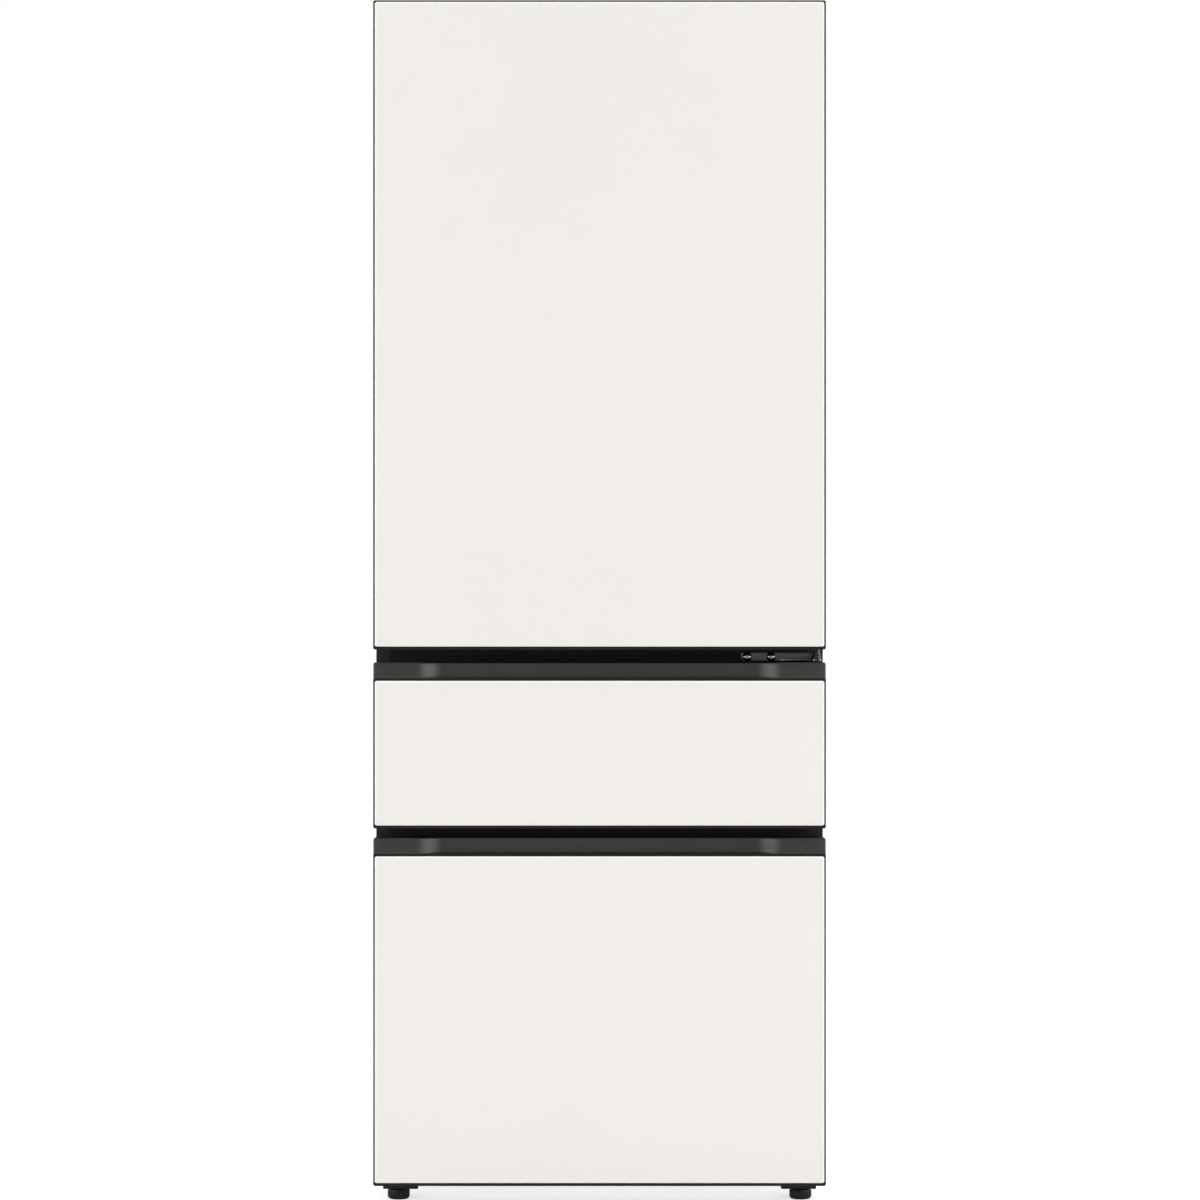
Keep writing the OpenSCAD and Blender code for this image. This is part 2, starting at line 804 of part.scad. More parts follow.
// Plastic edges clipped on the front and the back of each shelf
module shelf_trims() {
    trim_x = room_x - ledge_rib_w - 1;
    color("gainsboro")
    for (i = [1:3])
        for (end = [[-trim_over, trim_d - trim_over],
                    [shelf_d - trim_d + trim_over, shelf_d + trim_over]])
            difference() {
                block([-trim_x, shelf_front + end[0], shelf_z(i) - glass_t - trim_h + 9],
                      [trim_x, shelf_front + end[1], shelf_z(i) + 3]);
                block([-trim_x - cut, shelf_front, shelf_z(i) - glass_t],
                      [trim_x + cut, shelf_front + shelf_d, shelf_z(i)]);
                block([-trim_x + 4, shelf_front + end[0] + 2, shelf_z(i) - glass_t - trim_h],
                      [trim_x - 4, shelf_front + end[1] - 2, shelf_z(i) - glass_t - 2]);
            }
}

// An open container tub with a rim; a is its lowest front left corner
module tub(a, size) {
    b = a + size;
    rim_h = 5;
    difference() {
        union() {
            upright_block([a.x + tub_rim, a.y + tub_rim, a.z],
                          [b.x - tub_rim, b.y - tub_rim, b.z - rim_h], tub_corner_r - tub_rim);
            upright_block([a.x, a.y, b.z - rim_h], b, tub_corner_r);
        }
        upright_block([a.x + tub_rim + tub_t, a.y + tub_rim + tub_t, a.z + tub_t],
                      [b.x - tub_rim - tub_t, b.y - tub_rim - tub_t, b.z + cut],
                      tub_corner_r - tub_rim - tub_t);
    }
}

// A container's lid: a shallow cap with two folding clips; a is its corner
module lid(a, size) {
    b = a + size;
    clip_w = min(clip_len, size.x / 2);
    mid_x = (a.x + b.x) / 2;
    difference() {
        upright_block(a, b, tub_corner_r);
        upright_block([a.x + 16, a.y + 16, b.z - 4], [b.x - 16, b.y - 16, b.z + cut],
                      tub_corner_r - 6);
        upright_block([a.x + 12, a.y + 12, a.z - cut], [b.x - 12, b.y - 12, b.z - 7],
                      tub_corner_r - 8);
    }
    for (y = [a.y - 2.5, b.y])
        block([mid_x - clip_w / 2, y, a.z - 9], [mid_x + clip_w / 2, y + 2.5, b.z - 3]);
}

// Places of the four containers in the upper room, two on each level
function upper_tub_spots() =
    [for (i = [0:1]) for (side = [-1, 1])
        [side > 0 ? tub_gap / 2 : -tub_gap / 2 - tub_top_w, tub_front,
         i == 0 ? top_floor : shelf_z(1)]];

// Tubs of the upper room's containers
module upper_tubs() {
    color("lightsteelblue")
    for (spot = upper_tub_spots())
        tub(spot, [tub_top_w, tub_d, tub_h]);
}

// Lids of the upper room's containers
module upper_lids() {
    color("white")
    for (spot = upper_tub_spots())
        lid(spot + [0, 0, tub_h], [tub_top_w, tub_d, lid_h]);
}

// Outer members of the drawer rails, on the side walls of both rooms
module fixed_rails() {
    color("silver")
    for (z = [upper_rails_z, lower_rails_z])
        both_sides()
            rail_channel(room_x, rail_w, rail_h, z);
}

// A channel open towards the middle, with its web against x
module rail_channel(x, w, h, z) {
    difference() {
        block([x - w, rail_front, z], [x, rail_front + rail_len, z + h]);
        block([x - w - cut, rail_front - cut, z + rail_t],
              [x - rail_t, rail_front + rail_len + cut, z + h - rail_t]);
    }
}

// Middle members of one drawer's rails
module slide_members(z) {
    color("gainsboro")
    both_sides()
        rail_channel(room_x - rail_t - rail_gap, rail_w - rail_t - 2 * rail_gap, slide_h,
                     z + rail_rise);
}

// Inner members of one drawer's rails, with the ledge under the box
module drawer_rails(z) {
    z0 = z + 2 * rail_rise;
    outer_x = room_x - 2 * (rail_t + rail_gap);
    color("silver")
    both_sides() {
        difference() {
            block([mover_x, front_back + front_liner_t, z0],
                  [outer_x, rail_front + rail_len, z0 + mover_h]);
            block([mover_x + rail_t, front_back + front_liner_t - cut, z0 + rail_t],
                  [outer_x + cut, rail_front + rail_len + cut, z0 + mover_h - rail_t]);
        }
        block([mover_x - mover_lip, front_back + front_liner_t, z0],
              [mover_x, rail_front + rail_len, z0 + rail_t]);
        block([mover_x - mover_lip + 2, front_back + front_liner_t, z0 + rail_t],
              [mover_x + rail_t, front_back + front_liner_t + rail_t, z0 + mover_h + 30]);
    }
}

// Flat plate and arm of the top hinge with its pin, which points down
module top_hinge() {
    color("silver")
    difference() {
        union() {
            translate([0, 0, cabinet_top]) linear_extrude(hinge_t) polygon(concat(
                arc([pivot_x, pivot_y], arm_half, 180, 360, 12),
                [[pivot_x + arm_half, face_y + 8], [pivot_x + 4, face_y + 16],
                 [pivot_x + 2, plate_rear],
                 [plate_left, plate_rear], [plate_left, face_y + plate_lead],
                 [pivot_x - arm_half, face_y + plate_lead]]));
            translate([pivot_x, pivot_y, notch_floor - pin_in_door])
                cylinder(r = pin_dia / 2, h = cabinet_top - notch_floor + pin_in_door + 1);
        }
        for (spot = top_bolt_spots)
            translate([spot.x, spot.y, cabinet_top - cut])
                cylinder(r = bolt_dia / 2 + bolt_gap, h = hinge_t + 2 * cut);
    }
}

// Middle hinge: a plate bolted to the upper cross rail, an arm and a pin
module middle_hinge() {
    color("silver")
    difference() {
        union() {
            translate([0, face_y, 0]) rotate([90, 0, 0])
                linear_extrude(wall_plate_t) polygon([
                    [middle_plate_x, middle_arm_z + 3],
                    [middle_plate_x + 3, middle_arm_z],
                    [middle_plate_x + wall_plate_w, middle_arm_z],
                    [middle_plate_x + wall_plate_w, middle_arm_z + wall_plate_h],
                    [middle_plate_x, middle_arm_z + wall_plate_h]]);
            translate([0, 0, middle_arm_z]) linear_extrude(hinge_t) polygon(concat(
                arc([pivot_x, pivot_y], arm_half, 180, 360, 12),
                [[middle_plate_x + wall_plate_w, face_y - 15],
                 [middle_plate_x + wall_plate_w, face_y],
                 [middle_plate_x + 53, face_y]]));
            translate([pivot_x, pivot_y, middle_arm_z])
                cylinder(r = pin_dia / 2, h = door_bottom - middle_arm_z + pin_in_door);
            translate([pivot_x, pivot_y, middle_arm_z])
                cylinder(r = pin_dia / 2 + 1.5, h = hinge_t + 5);
        }
        for (x = middle_bolt_spots)
            translate([x, face_y + cut, middle_bolt_z]) rotate([90, 0, 0])
                cylinder(r = bolt_dia / 2 + bolt_gap, h = wall_plate_t + 2 * cut);
    }
}

// Hollow cap over the top hinge's plate
module top_hinge_cover() {
    color("dimgray")
    difference() {
        upright_block([cap_left, cap_front, cabinet_top],
                      [cap_right, cap_rear, cabinet_top + hinge_cap_h], 8);
        upright_block([cap_left + cap_t, cap_front + cap_t, cabinet_top - cut],
                      [cap_right - cap_t, cap_rear - cap_t, cabinet_top + hinge_cap_h - cap_t], 6);
        block([pivot_x - arm_half - 1, cap_front - cut, cabinet_top - cut],
              [pivot_x + arm_half + 1, cap_front + 14, cabinet_top + hinge_t + 1]);
    }
}

// A screw with a round head; it points along -Z
module round_screw(shank_r, shank_len, head_r, head_h) {
    translate([0, 0, -shank_len]) cylinder(r = shank_r, h = shank_len);
    cylinder(r = head_r, h = head_h);
}

// Hinge bolts and the screws of the rear covers
module screws() {
    color("silver") {
        for (spot = top_bolt_spots)
            translate([spot.x, spot.y, cabinet_top + hinge_t])
                hinge_bolt(bolt_len + hinge_t - 2);
        for (x = middle_bolt_spots)
            translate([x, face_y - wall_plate_t, middle_bolt_z]) rotate([90, 0, 0])
                hinge_bolt(bolt_len);
        both_sides()
            for (z = cover_screw_z)
                translate([cover_screw_x(), shell_rear + cover_sheet, z]) rotate([-90, 0, 0])
                    round_screw(screw_dia / 2, screw_len, screw_head_dia / 2, 2.5);
        for (x = board_screw_x(), z = board_screw_z())
            translate([x, foam_rear + sheet + cover_sheet, z]) rotate([-90, 0, 0])
                round_screw(screw_dia / 2, screw_len, screw_head_dia / 2, 2.5);
    }
}

// A bolt with a six-sided head and a thin washer
module hinge_bolt(shank_len) {
    translate([0, 0, -shank_len]) cylinder(r = bolt_dia / 2, h = shank_len);
    cylinder(r = bolt_head_dia / 2, h = 1);
    translate([0, 0, 1]) cylinder(r = bolt_head_dia / 2 - 1, h = 4, $fn = 6);
}

function cover_screw_x() = half_w - flange_w / 2;
function board_screw_x() = [-board_x - 6, board_x + 6];
function board_screw_z() = [board_z - 6, board_z + board_h + 6];

// Holes for the rear cover's screws through what they pass
module cover_screw_holes(r) {
    both_sides()
        for (z = cover_screw_z)
            translate([cover_screw_x(), shell_rear + cover_sheet + cut, z]) rotate([90, 0, 0])
                cylinder(r = r, h = screw_len + cover_sheet + 2 * cut);
}

// Holes for the control box's screws through what they pass
module board_screw_holes(r) {
    for (x = board_screw_x(), z = board_screw_z())
        translate([x, foam_rear + sheet + cover_sheet + cut, z]) rotate([90, 0, 0])
            cylinder(r = r, h = screw_len + 2 * cut);
}

// Folded plates for the front feet and forks for the rear rollers
module base_brackets() {
    foot_plate_z = underside_z - foot_plate_h;
    foot_plate_x = half_w - foot_inset - 29;
    fork_x = roller_w / 2 + 1;
    axle_z = roller_dia / 2;
    color([0.1, 0.1, 0.1])
    both_sides() {
        difference() {
            block([foot_plate_x, face_y + 1, foot_plate_z],
                  [foot_plate_x + 52, face_y + 51, underside_z]);
            block([foot_plate_x + 3, face_y, foot_plate_z + 4],
                  [foot_plate_x + 49, face_y + 52, underside_z + cut]);
            translate([half_w - foot_inset, foot_y, foot_plate_z - cut])
                cylinder(r = foot_screw_dia / 2 + running_gap, h = foot_plate_h + 2 * cut);
        }
        for (side = [-1, 1])
            translate([half_w - foot_inset + side * (fork_x + 1.5) - 1.5, 0, 0])
                block([0, roller_y - 10, axle_z - 6], [3, roller_y + 10, underside_z]);
        translate([half_w - foot_inset - fork_x - 3, roller_y, axle_z]) rotate([0, 90, 0])
            cylinder(r = axle_dia / 2, h = 2 * fork_x + 6);
    }
}

// A levelling foot: a grooved disc on a screw
module levelling_foot() {
    disc_h = underside_z - foot_plate_h - seat_gap;
    r = foot_dia / 2;
    translate([half_w - foot_inset, foot_y, 0])
        difference() {
            union() {
                rotate_extrude() polygon(concat(
                    [[0, 0], [r - 3, 0]], arc([r - 3, 3], 3, -60, 0, 4),
                    [[r, disc_h - 2], [r - 2, disc_h], [0, disc_h]]));
                cylinder(r = foot_screw_dia / 2, h = tray_top - 3);
            }
            for (i = [0:19])
                rotate([0, 0, i * 18]) translate([r + 0.6, 0, 4])
                    cylinder(r = 1.6, h = disc_h);
        }
}

// Front left levelling foot
module foot_left() {
    color([0.08, 0.08, 0.08]) mirror([1, 0, 0]) levelling_foot();
}

// Front right levelling foot
module foot_right() {
    color([0.08, 0.08, 0.08]) levelling_foot();
}

// A rear roller with rounded shoulders and its axle bore
module rear_roller() {
    r = roller_dia / 2;
    translate([half_w - foot_inset - roller_w / 2, roller_y, r]) rotate([0, 90, 0])
        difference() {
            rotate_extrude() polygon([
                [0, 0], [r - 2, 0], [r, 2], [r, roller_w - 2], [r - 2, roller_w],
                [0, roller_w]]);
            translate([0, 0, -cut]) cylinder(r = axle_dia / 2 + running_gap, h = roller_w + 2 * cut);
        }
}

// Rear left roller
module roller_left() {
    color([0.2, 0.2, 0.2]) mirror([1, 0, 0]) rear_roller();
}

// Rear right roller
module roller_right() {
    color([0.2, 0.2, 0.2]) rear_roller();
}

// Hermetic compressor: a welded casing, its foot plate and stub pipes
module compressor() {
    r = compressor_dia / 2;
    plate_z = deck_z + mount_h;
    case_z = plate_z + leg_plate_t;
    seam = compressor_h * 0.48;
    color([0.12, 0.12, 0.13])
    translate([compressor_x, machine_mid_y, 0]) {
        difference() {
            upright_block([-mount_dx - 16, -mount_dy - 16, plate_z],
                          [mount_dx + 16, mount_dy + 16, case_z], 12);
            for (x = [-mount_dx, mount_dx], y = [-mount_dy, mount_dy])
                translate([x, y, plate_z - cut]) cylinder(r = 6, h = leg_plate_t + 2 * cut);
        }
        translate([0, 0, case_z]) rotate_extrude() polygon(concat(
            [[0, 0], [r - 40, 0]], arc([r - 30, 30], 30, -60, 0, 5),
            [[r, seam - 3], [r + 4, seam - 3], [r + 4, seam + 3], [r, seam + 3]],
            arc([r - 45, compressor_h - 45], 45, 0, 75, 6), [[0, compressor_h]]));
        block([r - 12, -24, case_z + 30], [r + 18, 24, case_z + 74]);
        for (pipe = [[-30, -r - 24, 44], [30, -r - 24, 44], [0, -r - 14, 58]])
            translate([pipe.x, pipe.y, case_z + pipe.z]) rotate([-90, 0, 0])
                cylinder(r = 4, h = 60);
    }
}

// Rubber mounts under the compressor's foot plate
module compressor_mounts() {
    color([0.15, 0.15, 0.15])
    for (x = [-mount_dx, mount_dx], y = [-mount_dy, mount_dy])
        translate([compressor_x + x, machine_mid_y + y, deck_z]) {
            cylinder(r = mount_r, h = mount_h);
            cylinder(r = 5.5, h = mount_h + leg_plate_t + 3);
        }
}

// Fin-and-tube condenser that stands on the drip pan's walls
module condenser() {
    coil_x = pan_left + pan_w / 2;
    end_y = pan_depth / 2 - 1;
    base_z = deck_z + pan_h;
    color("dimgray")
    translate([coil_x, machine_mid_y, base_z]) rotate([0, 0, 90]) {
        translate([0, 0, condenser_lift])
            finned_coil(end_y - 16, condenser_w, condenser_rows, 3, condenser_pitch, 5, 14, 1);
        for (side = [-1, 1])
            translate([side * (end_y - 20), 0, 0]) coil_end(end_y, side);
    }
}

// End plate of the condenser with the foot that reaches the pan's wall
module coil_end(end_y, side) {
    height = condenser_lift + condenser_rows * condenser_pitch;
    translate([-1, -condenser_w / 2, 0]) cube([2, condenser_w, height]);
    translate([side > 0 ? -1 : 1 - condenser_foot, -condenser_w / 2, 0])
        cube([condenser_foot, condenser_w, 2]);
}

// Open pan that catches and dries the defrost water
module drip_pan() {
    color("whitesmoke")
    difference() {
        block([pan_left, machine_mid_y - pan_depth / 2, deck_z],
              [pan_left + pan_w, machine_mid_y + pan_depth / 2, deck_z + pan_h]);
        block([pan_left + 2, machine_mid_y - pan_depth / 2 + 2, deck_z + 2],
              [pan_left + pan_w - 2, machine_mid_y + pan_depth / 2 - 2, deck_z + pan_h + cut]);
    }
}

// Louvred cover over the machine compartment
module rear_cover() {
    x = half_w - cover_margin;
    z0 = underside_z + 6;
    z1 = bulkhead_z;
    color("gray")
    difference() {
        union() {
            block([-x, shell_rear, z0], [x, shell_rear + cover_sheet, z1]);
            block([-x + cover_rim, shell_rear, z0 + cover_rim],
                  [x - cover_rim, y_rear, z1 - cover_rim]);
        }
        block([-x + cover_rim + cover_sheet, shell_rear - cut, z0 + cover_rim + cover_sheet],
              [x - cover_rim - cover_sheet, y_rear - cover_sheet, z1 - cover_rim - cover_sheet]);
        for (centre = [-x * 0.66, 0, x * 0.66])
            for (i = [0:11])
                block([centre - 75, y_rear - 3, z0 + 30 + 13 * i],
                      [centre + 75, y_rear + cut, z0 + 36 + 13 * i]);
        cover_screw_holes(screw_dia / 2 + bolt_gap);
    }
}

// Electronics box let into the back, with its cover plate
module control_box() {
    color("gray")
    difference() {
        union() {
            block([-board_x, foam_rear - board_depth, board_z],
                  [board_x, foam_rear + sheet, board_z + board_h]);
            block([-board_x - 12, foam_rear + sheet, board_z - 12],
                  [board_x + 12, foam_rear + sheet + cover_sheet, board_z + board_h + 12]);
        }
        block([-board_x + 2, foam_rear - board_depth + 2, board_z + 2],
              [board_x - 2, foam_rear + sheet - 2, board_z + board_h - 2]);
        board_screw_holes(screw_dia / 2 + bolt_gap);
    }
}

// Bush in the back panel where the mains lead would leave
module cord_gland() {
    color([0.1, 0.1, 0.1])
    translate([gland_x, foam_rear, gland_z]) rotate([-90, 0, 0])
        difference() {
            union() {
                translate([0, 0, -12]) cylinder(r = gland_r, h = 12 + sheet);
                translate([0, 0, sheet]) cylinder(r = gland_r + 4, h = 3);
            }
            translate([0, 0, -9]) cylinder(r = cord_r, h = 20);
        }
}

// White panel of a front
module front_panel(z0, z1) {
    color([0.95, 0.94, 0.92])
    facing_block([-half_w + rim_w, y_front, z0], [half_w - rim_w, y_front + panel_t, z1],
                 panel_corner_r);
}

// The pocket that a front's panel lies in
module panel_pocket(z0, z1) {
    block([-half_w + rim_w, y_front - cut, z0], [half_w - rim_w, y_front + panel_t, z1]);
}

// Door panel
module door_panel() {
    front_panel(door_bottom + bottom_trim, door_top - rim_w);
}

// Foam-filled frame of the door, with its hinge bores and grip groove
module door_frame() {
    color([0.14, 0.14, 0.15])
    difference() {
        facing_block([-half_w, y_front + panel_proud, door_bottom],
                     [half_w, front_back, door_top], panel_corner_r);
        panel_pocket(door_bottom + bottom_trim, door_top - rim_w);
        block([pivot_x - 16, pivot_y - 20, notch_floor], [half_w + cut, front_back + cut,
              door_top + cut]);
        translate([pivot_x, pivot_y, notch_floor - pin_in_door - cut])
            cylinder(r = pin_dia / 2 + running_gap, h = pin_in_door + 2 * cut);
        translate([pivot_x, pivot_y, door_bottom - cut])
            cylinder(r = pin_dia / 2 + running_gap, h = pin_in_door + 2 * cut);
        block([-half_w + grip_in, y_front + grip_back, door_bottom - cut],
              [-half_w + grip_in + grip_w, y_front + grip_back + grip_d, door_bottom + grip_h]);
    }
}

// Inner liner of a front: a plate inside the gasket
module liner_plate(z0, z1) {
    x = gasket_x - 1;
    block([-x, front_back, z0 - gasket_in + 1], [x, front_back + front_liner_t, z1 + gasket_in - 1]);
}

// Door liner with the raised frame that holds the bins
module door_liner() {
    z0 = top_floor + dike_end;
    z1 = top_ceiling - dike_end;
    back = front_back + front_liner_t;
    color("whitesmoke") {
        liner_plate(top_floor, top_ceiling);
        difference() {
            block([-dike_x, back, z0], [dike_x, back + dike_d, z1]);
            block([-dike_x + dike_w, back - cut, z0 + dike_w],
                  [dike_x - dike_w, back + dike_d + cut, z1 - dike_w]);
        }
        both_sides()
            for (i = [0:2])
                block([dike_x - dike_w - 4, back, bin_z(i) - 7],
                      [dike_x - dike_w, back + dike_d, bin_z(i)]);
    }
}

function bin_z(i) = top_floor + dike_end + dike_w + 20 + i * bin_pitch;

// Open bins that stand on the door liner's ledges
module door_bins() {
    x = dike_x - dike_w - bin_gap;
    back = front_back + front_liner_t;
    color([0.85, 0.9, 0.92])
    for (i = [0:2])
        difference() {
            upright_block([-x, back, bin_z(i)], [x, back + bin_d, bin_z(i) + bin_h],
                          bin_corner_r);
            upright_block([-x + bin_t, back + bin_t, bin_z(i) + bin_t],
                          [x - bin_t, back + bin_d - bin_t, bin_z(i) + bin_h + cut],
                          bin_corner_r - bin_t);
        }
}

// Magnetic gasket: a foot, a narrower bellows and the sealing head
module gasket_ring(z0, z1) {
    low = z0 - gasket_in - gasket_w;
    high = z1 + gasket_in + gasket_w;
    x = gasket_x + gasket_w;
    color([0.75, 0.75, 0.76]) {
        facing_ring([-x, front_back, low], [x, front_back + 3, high], gasket_w);
        facing_ring([-x + 2, front_back + 3, low + 2], [x - 2, front_back + gasket_d - 3.5,
                    high - 2], gasket_w - 4);
        facing_ring([-x, front_back + gasket_d - 3.5, low], [x, front_back + gasket_d, high],
                    gasket_w);
    }
}

// Gasket of the door
module door_gasket() {
    gasket_ring(top_floor, top_ceiling);
}

// Foam-filled frame of a drawer front, with the pocket behind its handle
module drawer_frame(z0, z1) {
    ledge_z = z1 - handle_zone + ledge_h;
    color([0.14, 0.14, 0.15])
    difference() {
        facing_block([-half_w, y_front + panel_proud, z0], [half_w, front_back, z1],
                     panel_corner_r);
        panel_pocket(z0 + bottom_trim, z1 - handle_zone);
        block([-half_w - cut, y_front - cut, ledge_z],
              [half_w + cut, y_front + strip_set + strip_t, z1 + cut]);
        block([-half_w + pocket_end, y_front - cut, ledge_z],
              [half_w - pocket_end, y_front + pocket_d, z1 + cut]);
        block([-half_w - cut, y_front, z1 - 2], [half_w + cut, front_back + cut, z1 + cut]);
    }
}

function ease(t) = t * t * (3 - 2 * t);
function scoop(x, half_len) =
    scoop_d * ease(max(0, min(1, (half_len - scoop_start - abs(x)) / scoop_run)));

// Curved metal strip that forms a drawer's handle
module handle_strip(z1) {
    half_len = half_w - strip_short;
    y = y_front + strip_set;
    curve = [for (i = [0:10]) half_len - scoop_start - scoop_run * i / 10];
    xs = concat([-half_len], [for (x = curve) -x], [for (i = [0:10]) curve[10 - i]], [half_len]);
    color([0.24, 0.23, 0.22])
    translate([0, 0, z1 - handle_zone + ledge_h]) linear_extrude(handle_zone - ledge_h)
        polygon(concat([for (x = xs) [x, y + scoop(x, half_len)]],
                       [for (i = [len(xs) - 1:-1:0]) [xs[i], y + strip_t + scoop(xs[i], half_len)]]));
}

// Inner liner of a drawer front with its raised pad
module drawer_liner(z0, z1) {
    color("whitesmoke") {
        liner_plate(z0, z1);
        block([-pad_x, front_back, z0 + 14], [pad_x, front_back + front_liner_t + pad_d, z1 - 30]);
    }
}

// Panel of the upper drawer's front
module upper_drawer_panel() {
    front_panel(upper_front_bottom + bottom_trim, upper_front_top - handle_zone);
}

// Handle strip of the upper drawer
module upper_drawer_handle() {
    handle_strip(upper_front_top);
}

// Frame of the upper drawer's front
module upper_drawer_frame() {
    drawer_frame(upper_front_bottom, upper_front_top);
}

// Inner liner of the upper drawer's front
module upper_drawer_liner() {
    drawer_liner(mid_floor, mid_ceiling);
}

// Gasket of the upper drawer
module upper_drawer_gasket() {
    gasket_ring(mid_floor, mid_ceiling);
}

// Box of the upper drawer, which rests on its rails
module upper_drawer_box() {
    a = [-box_x, box_front, upper_box_z];
    b = [box_x, box_front + upper_box_d, upper_box_z + upper_box_h];
    color("whitesmoke")
    difference() {
        upright_block(a, b, 8);
        upright_block([a.x + box_t, a.y + box_t, a.z + box_t],
                      [b.x - box_t, b.y - box_t, b.z + cut], 6);
    }
}

// Places of the two containers in the upper drawer
function upper_drawer_spots() =
    [for (side = [-1, 1])
        [side > 0 ? tub_gap / 2 : 4 - box_x + box_t, box_front + box_t + 6, upper_box_z + box_t]];

// Sizes across of the containers in each drawer
upper_drawer_tub = [box_x - box_t - 4 - tub_gap / 2, upper_box_d - 2 * box_t - 12];
lower_drawer_tub = [lower_box_x - box_t - 4 - tub_gap / 2,
                    deep_box_rear - box_front - 2 * box_t - 12];

// Tubs in the upper drawer
module upper_drawer_tubs() {
    color("lightsteelblue")
    for (spot = upper_drawer_spots())
        tub(spot, [upper_drawer_tub.x, upper_drawer_tub.y, upper_drawer_tub_h]);
}

// Lids of the tubs in the upper drawer
module upper_drawer_lids() {
    color("white")
    for (spot = upper_drawer_spots())
        lid(spot + [0, 0, upper_drawer_tub_h], [upper_drawer_tub.x, upper_drawer_tub.y, lid_h]);
}

// Inner rail members of the upper drawer
module upper_drawer_rails() {
    drawer_rails(upper_rails_z);
}

// Middle rail members of the upper drawer
module upper_slides() {
    slide_members(upper_rails_z);
}

// Panel of the lower drawer's front
module lower_drawer_panel() {
    front_panel(fronts_bottom + bottom_trim, lower_front_top - handle_zone);
}

// Handle strip of the lower drawer
module lower_drawer_handle() {
    handle_strip(lower_front_top);
}

// Frame of the lower drawer's front
module lower_drawer_frame() {
    drawer_frame(fronts_bottom, lower_front_top);
}

// Inner liner of the lower drawer's front
module lower_drawer_liner() {
    drawer_liner(low_floor, low_ceiling);
}

// Gasket of the lower drawer
module lower_drawer_gasket() {
    gasket_ring(low_floor, low_ceiling);
}

// Deep box of the lower drawer, which hangs by its steps on the rails
module lower_drawer_box() {
    top_z = lower_box_z + lower_box_h;
    rear = box_front + lower_box_d;
    color("whitesmoke")
    difference() {
        union() {
            upright_block([-lower_box_x, box_front, lower_box_z],
                          [lower_box_x, deep_box_rear, top_z], 8);
            upright_block([-box_x, box_front, lower_ledge_z], [box_x, rear, top_z], 8);
        }
        upright_block([-lower_box_x + box_t, box_front + box_t, lower_box_z + box_t],
                      [lower_box_x - box_t, deep_box_rear - box_t, top_z + cut], 6);
        upright_block([-box_x + box_t, box_front + box_t, lower_ledge_z + box_t],
                      [box_x - box_t, rear - box_t, top_z + cut], 6);
    }
}

// Places of the two tall containers in the lower drawer
function lower_drawer_spots() =
    [for (side = [-1, 1])
        [side > 0 ? tub_gap / 2 : 4 - lower_box_x + box_t, box_front + box_t + 6,
         lower_box_z + box_t]];

// Tubs in the lower drawer
module lower_drawer_tubs() {
    color("lightsteelblue")
    for (spot = lower_drawer_spots())
        tub(spot, [lower_drawer_tub.x, lower_drawer_tub.y, lower_drawer_tub_h]);
}

// Lids of the tubs in the lower drawer
module lower_drawer_lids() {
    color("white")
    for (spot = lower_drawer_spots())
        lid(spot + [0, 0, lower_drawer_tub_h], [lower_drawer_tub.x, lower_drawer_tub.y, lid_h]);
}

// Inner rail members of the lower drawer
module lower_drawer_rails() {
    drawer_rails(lower_rails_z);
}

// Middle rail members of the lower drawer
module lower_slides() {
    slide_members(lower_rails_z);
}

outer_shell();
back_panel();
base_frame();
insulation_foam();
upper_liner();
drawer_liners();
cross_rails();
duct_cover();
evaporator();
evaporator_fan();
fan_motors();
control_panel();
lamp_lens();
shelf_glass();
shelf_trims();
upper_tubs();
upper_lids();
fixed_rails();
top_hinge();
middle_hinge();
top_hinge_cover();
screws();
base_brackets();
foot_left();
foot_right();
roller_left();
roller_right();
compressor();
compressor_mounts();
condenser();
condenser_fan();
drip_pan();
rear_cover();
control_box();
cord_gland();
door_panel();
door_frame();
door_liner();
door_gasket();
door_bins();
upper_drawer_panel();
upper_drawer_handle();
upper_drawer_frame();
upper_drawer_liner();
upper_drawer_gasket();
upper_drawer_box();
upper_drawer_tubs();
upper_drawer_lids();
upper_drawer_rails();
upper_slides();
lower_drawer_panel();
lower_drawer_handle();
lower_drawer_frame();
lower_drawer_liner();
lower_drawer_gasket();
lower_drawer_box();
lower_drawer_tubs();
lower_drawer_lids();
lower_drawer_rails();
lower_slides();
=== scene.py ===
import math
import bmesh
import bpy
from mathutils import Matrix, Vector


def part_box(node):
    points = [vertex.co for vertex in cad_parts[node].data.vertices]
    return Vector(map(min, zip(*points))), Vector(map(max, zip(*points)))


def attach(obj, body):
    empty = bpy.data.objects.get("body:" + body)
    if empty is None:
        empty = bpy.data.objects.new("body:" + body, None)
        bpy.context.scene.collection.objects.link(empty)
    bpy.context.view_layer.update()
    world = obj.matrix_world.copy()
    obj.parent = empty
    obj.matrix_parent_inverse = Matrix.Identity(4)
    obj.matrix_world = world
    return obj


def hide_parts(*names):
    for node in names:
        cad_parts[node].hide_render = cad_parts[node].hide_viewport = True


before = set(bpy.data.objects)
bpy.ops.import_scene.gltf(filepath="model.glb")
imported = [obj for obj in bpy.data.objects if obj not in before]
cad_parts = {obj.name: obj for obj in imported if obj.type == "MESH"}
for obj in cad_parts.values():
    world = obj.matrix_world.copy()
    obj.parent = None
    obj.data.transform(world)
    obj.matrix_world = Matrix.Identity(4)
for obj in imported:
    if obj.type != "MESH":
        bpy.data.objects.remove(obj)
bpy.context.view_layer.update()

# ---- base tray
# Galvanised sheet pressed into a shallow tray with an upright bulkhead. The
# shell, the feet and the compressor are all screwed or riveted to it. Its cut
# edges are slightly rounded by the press.


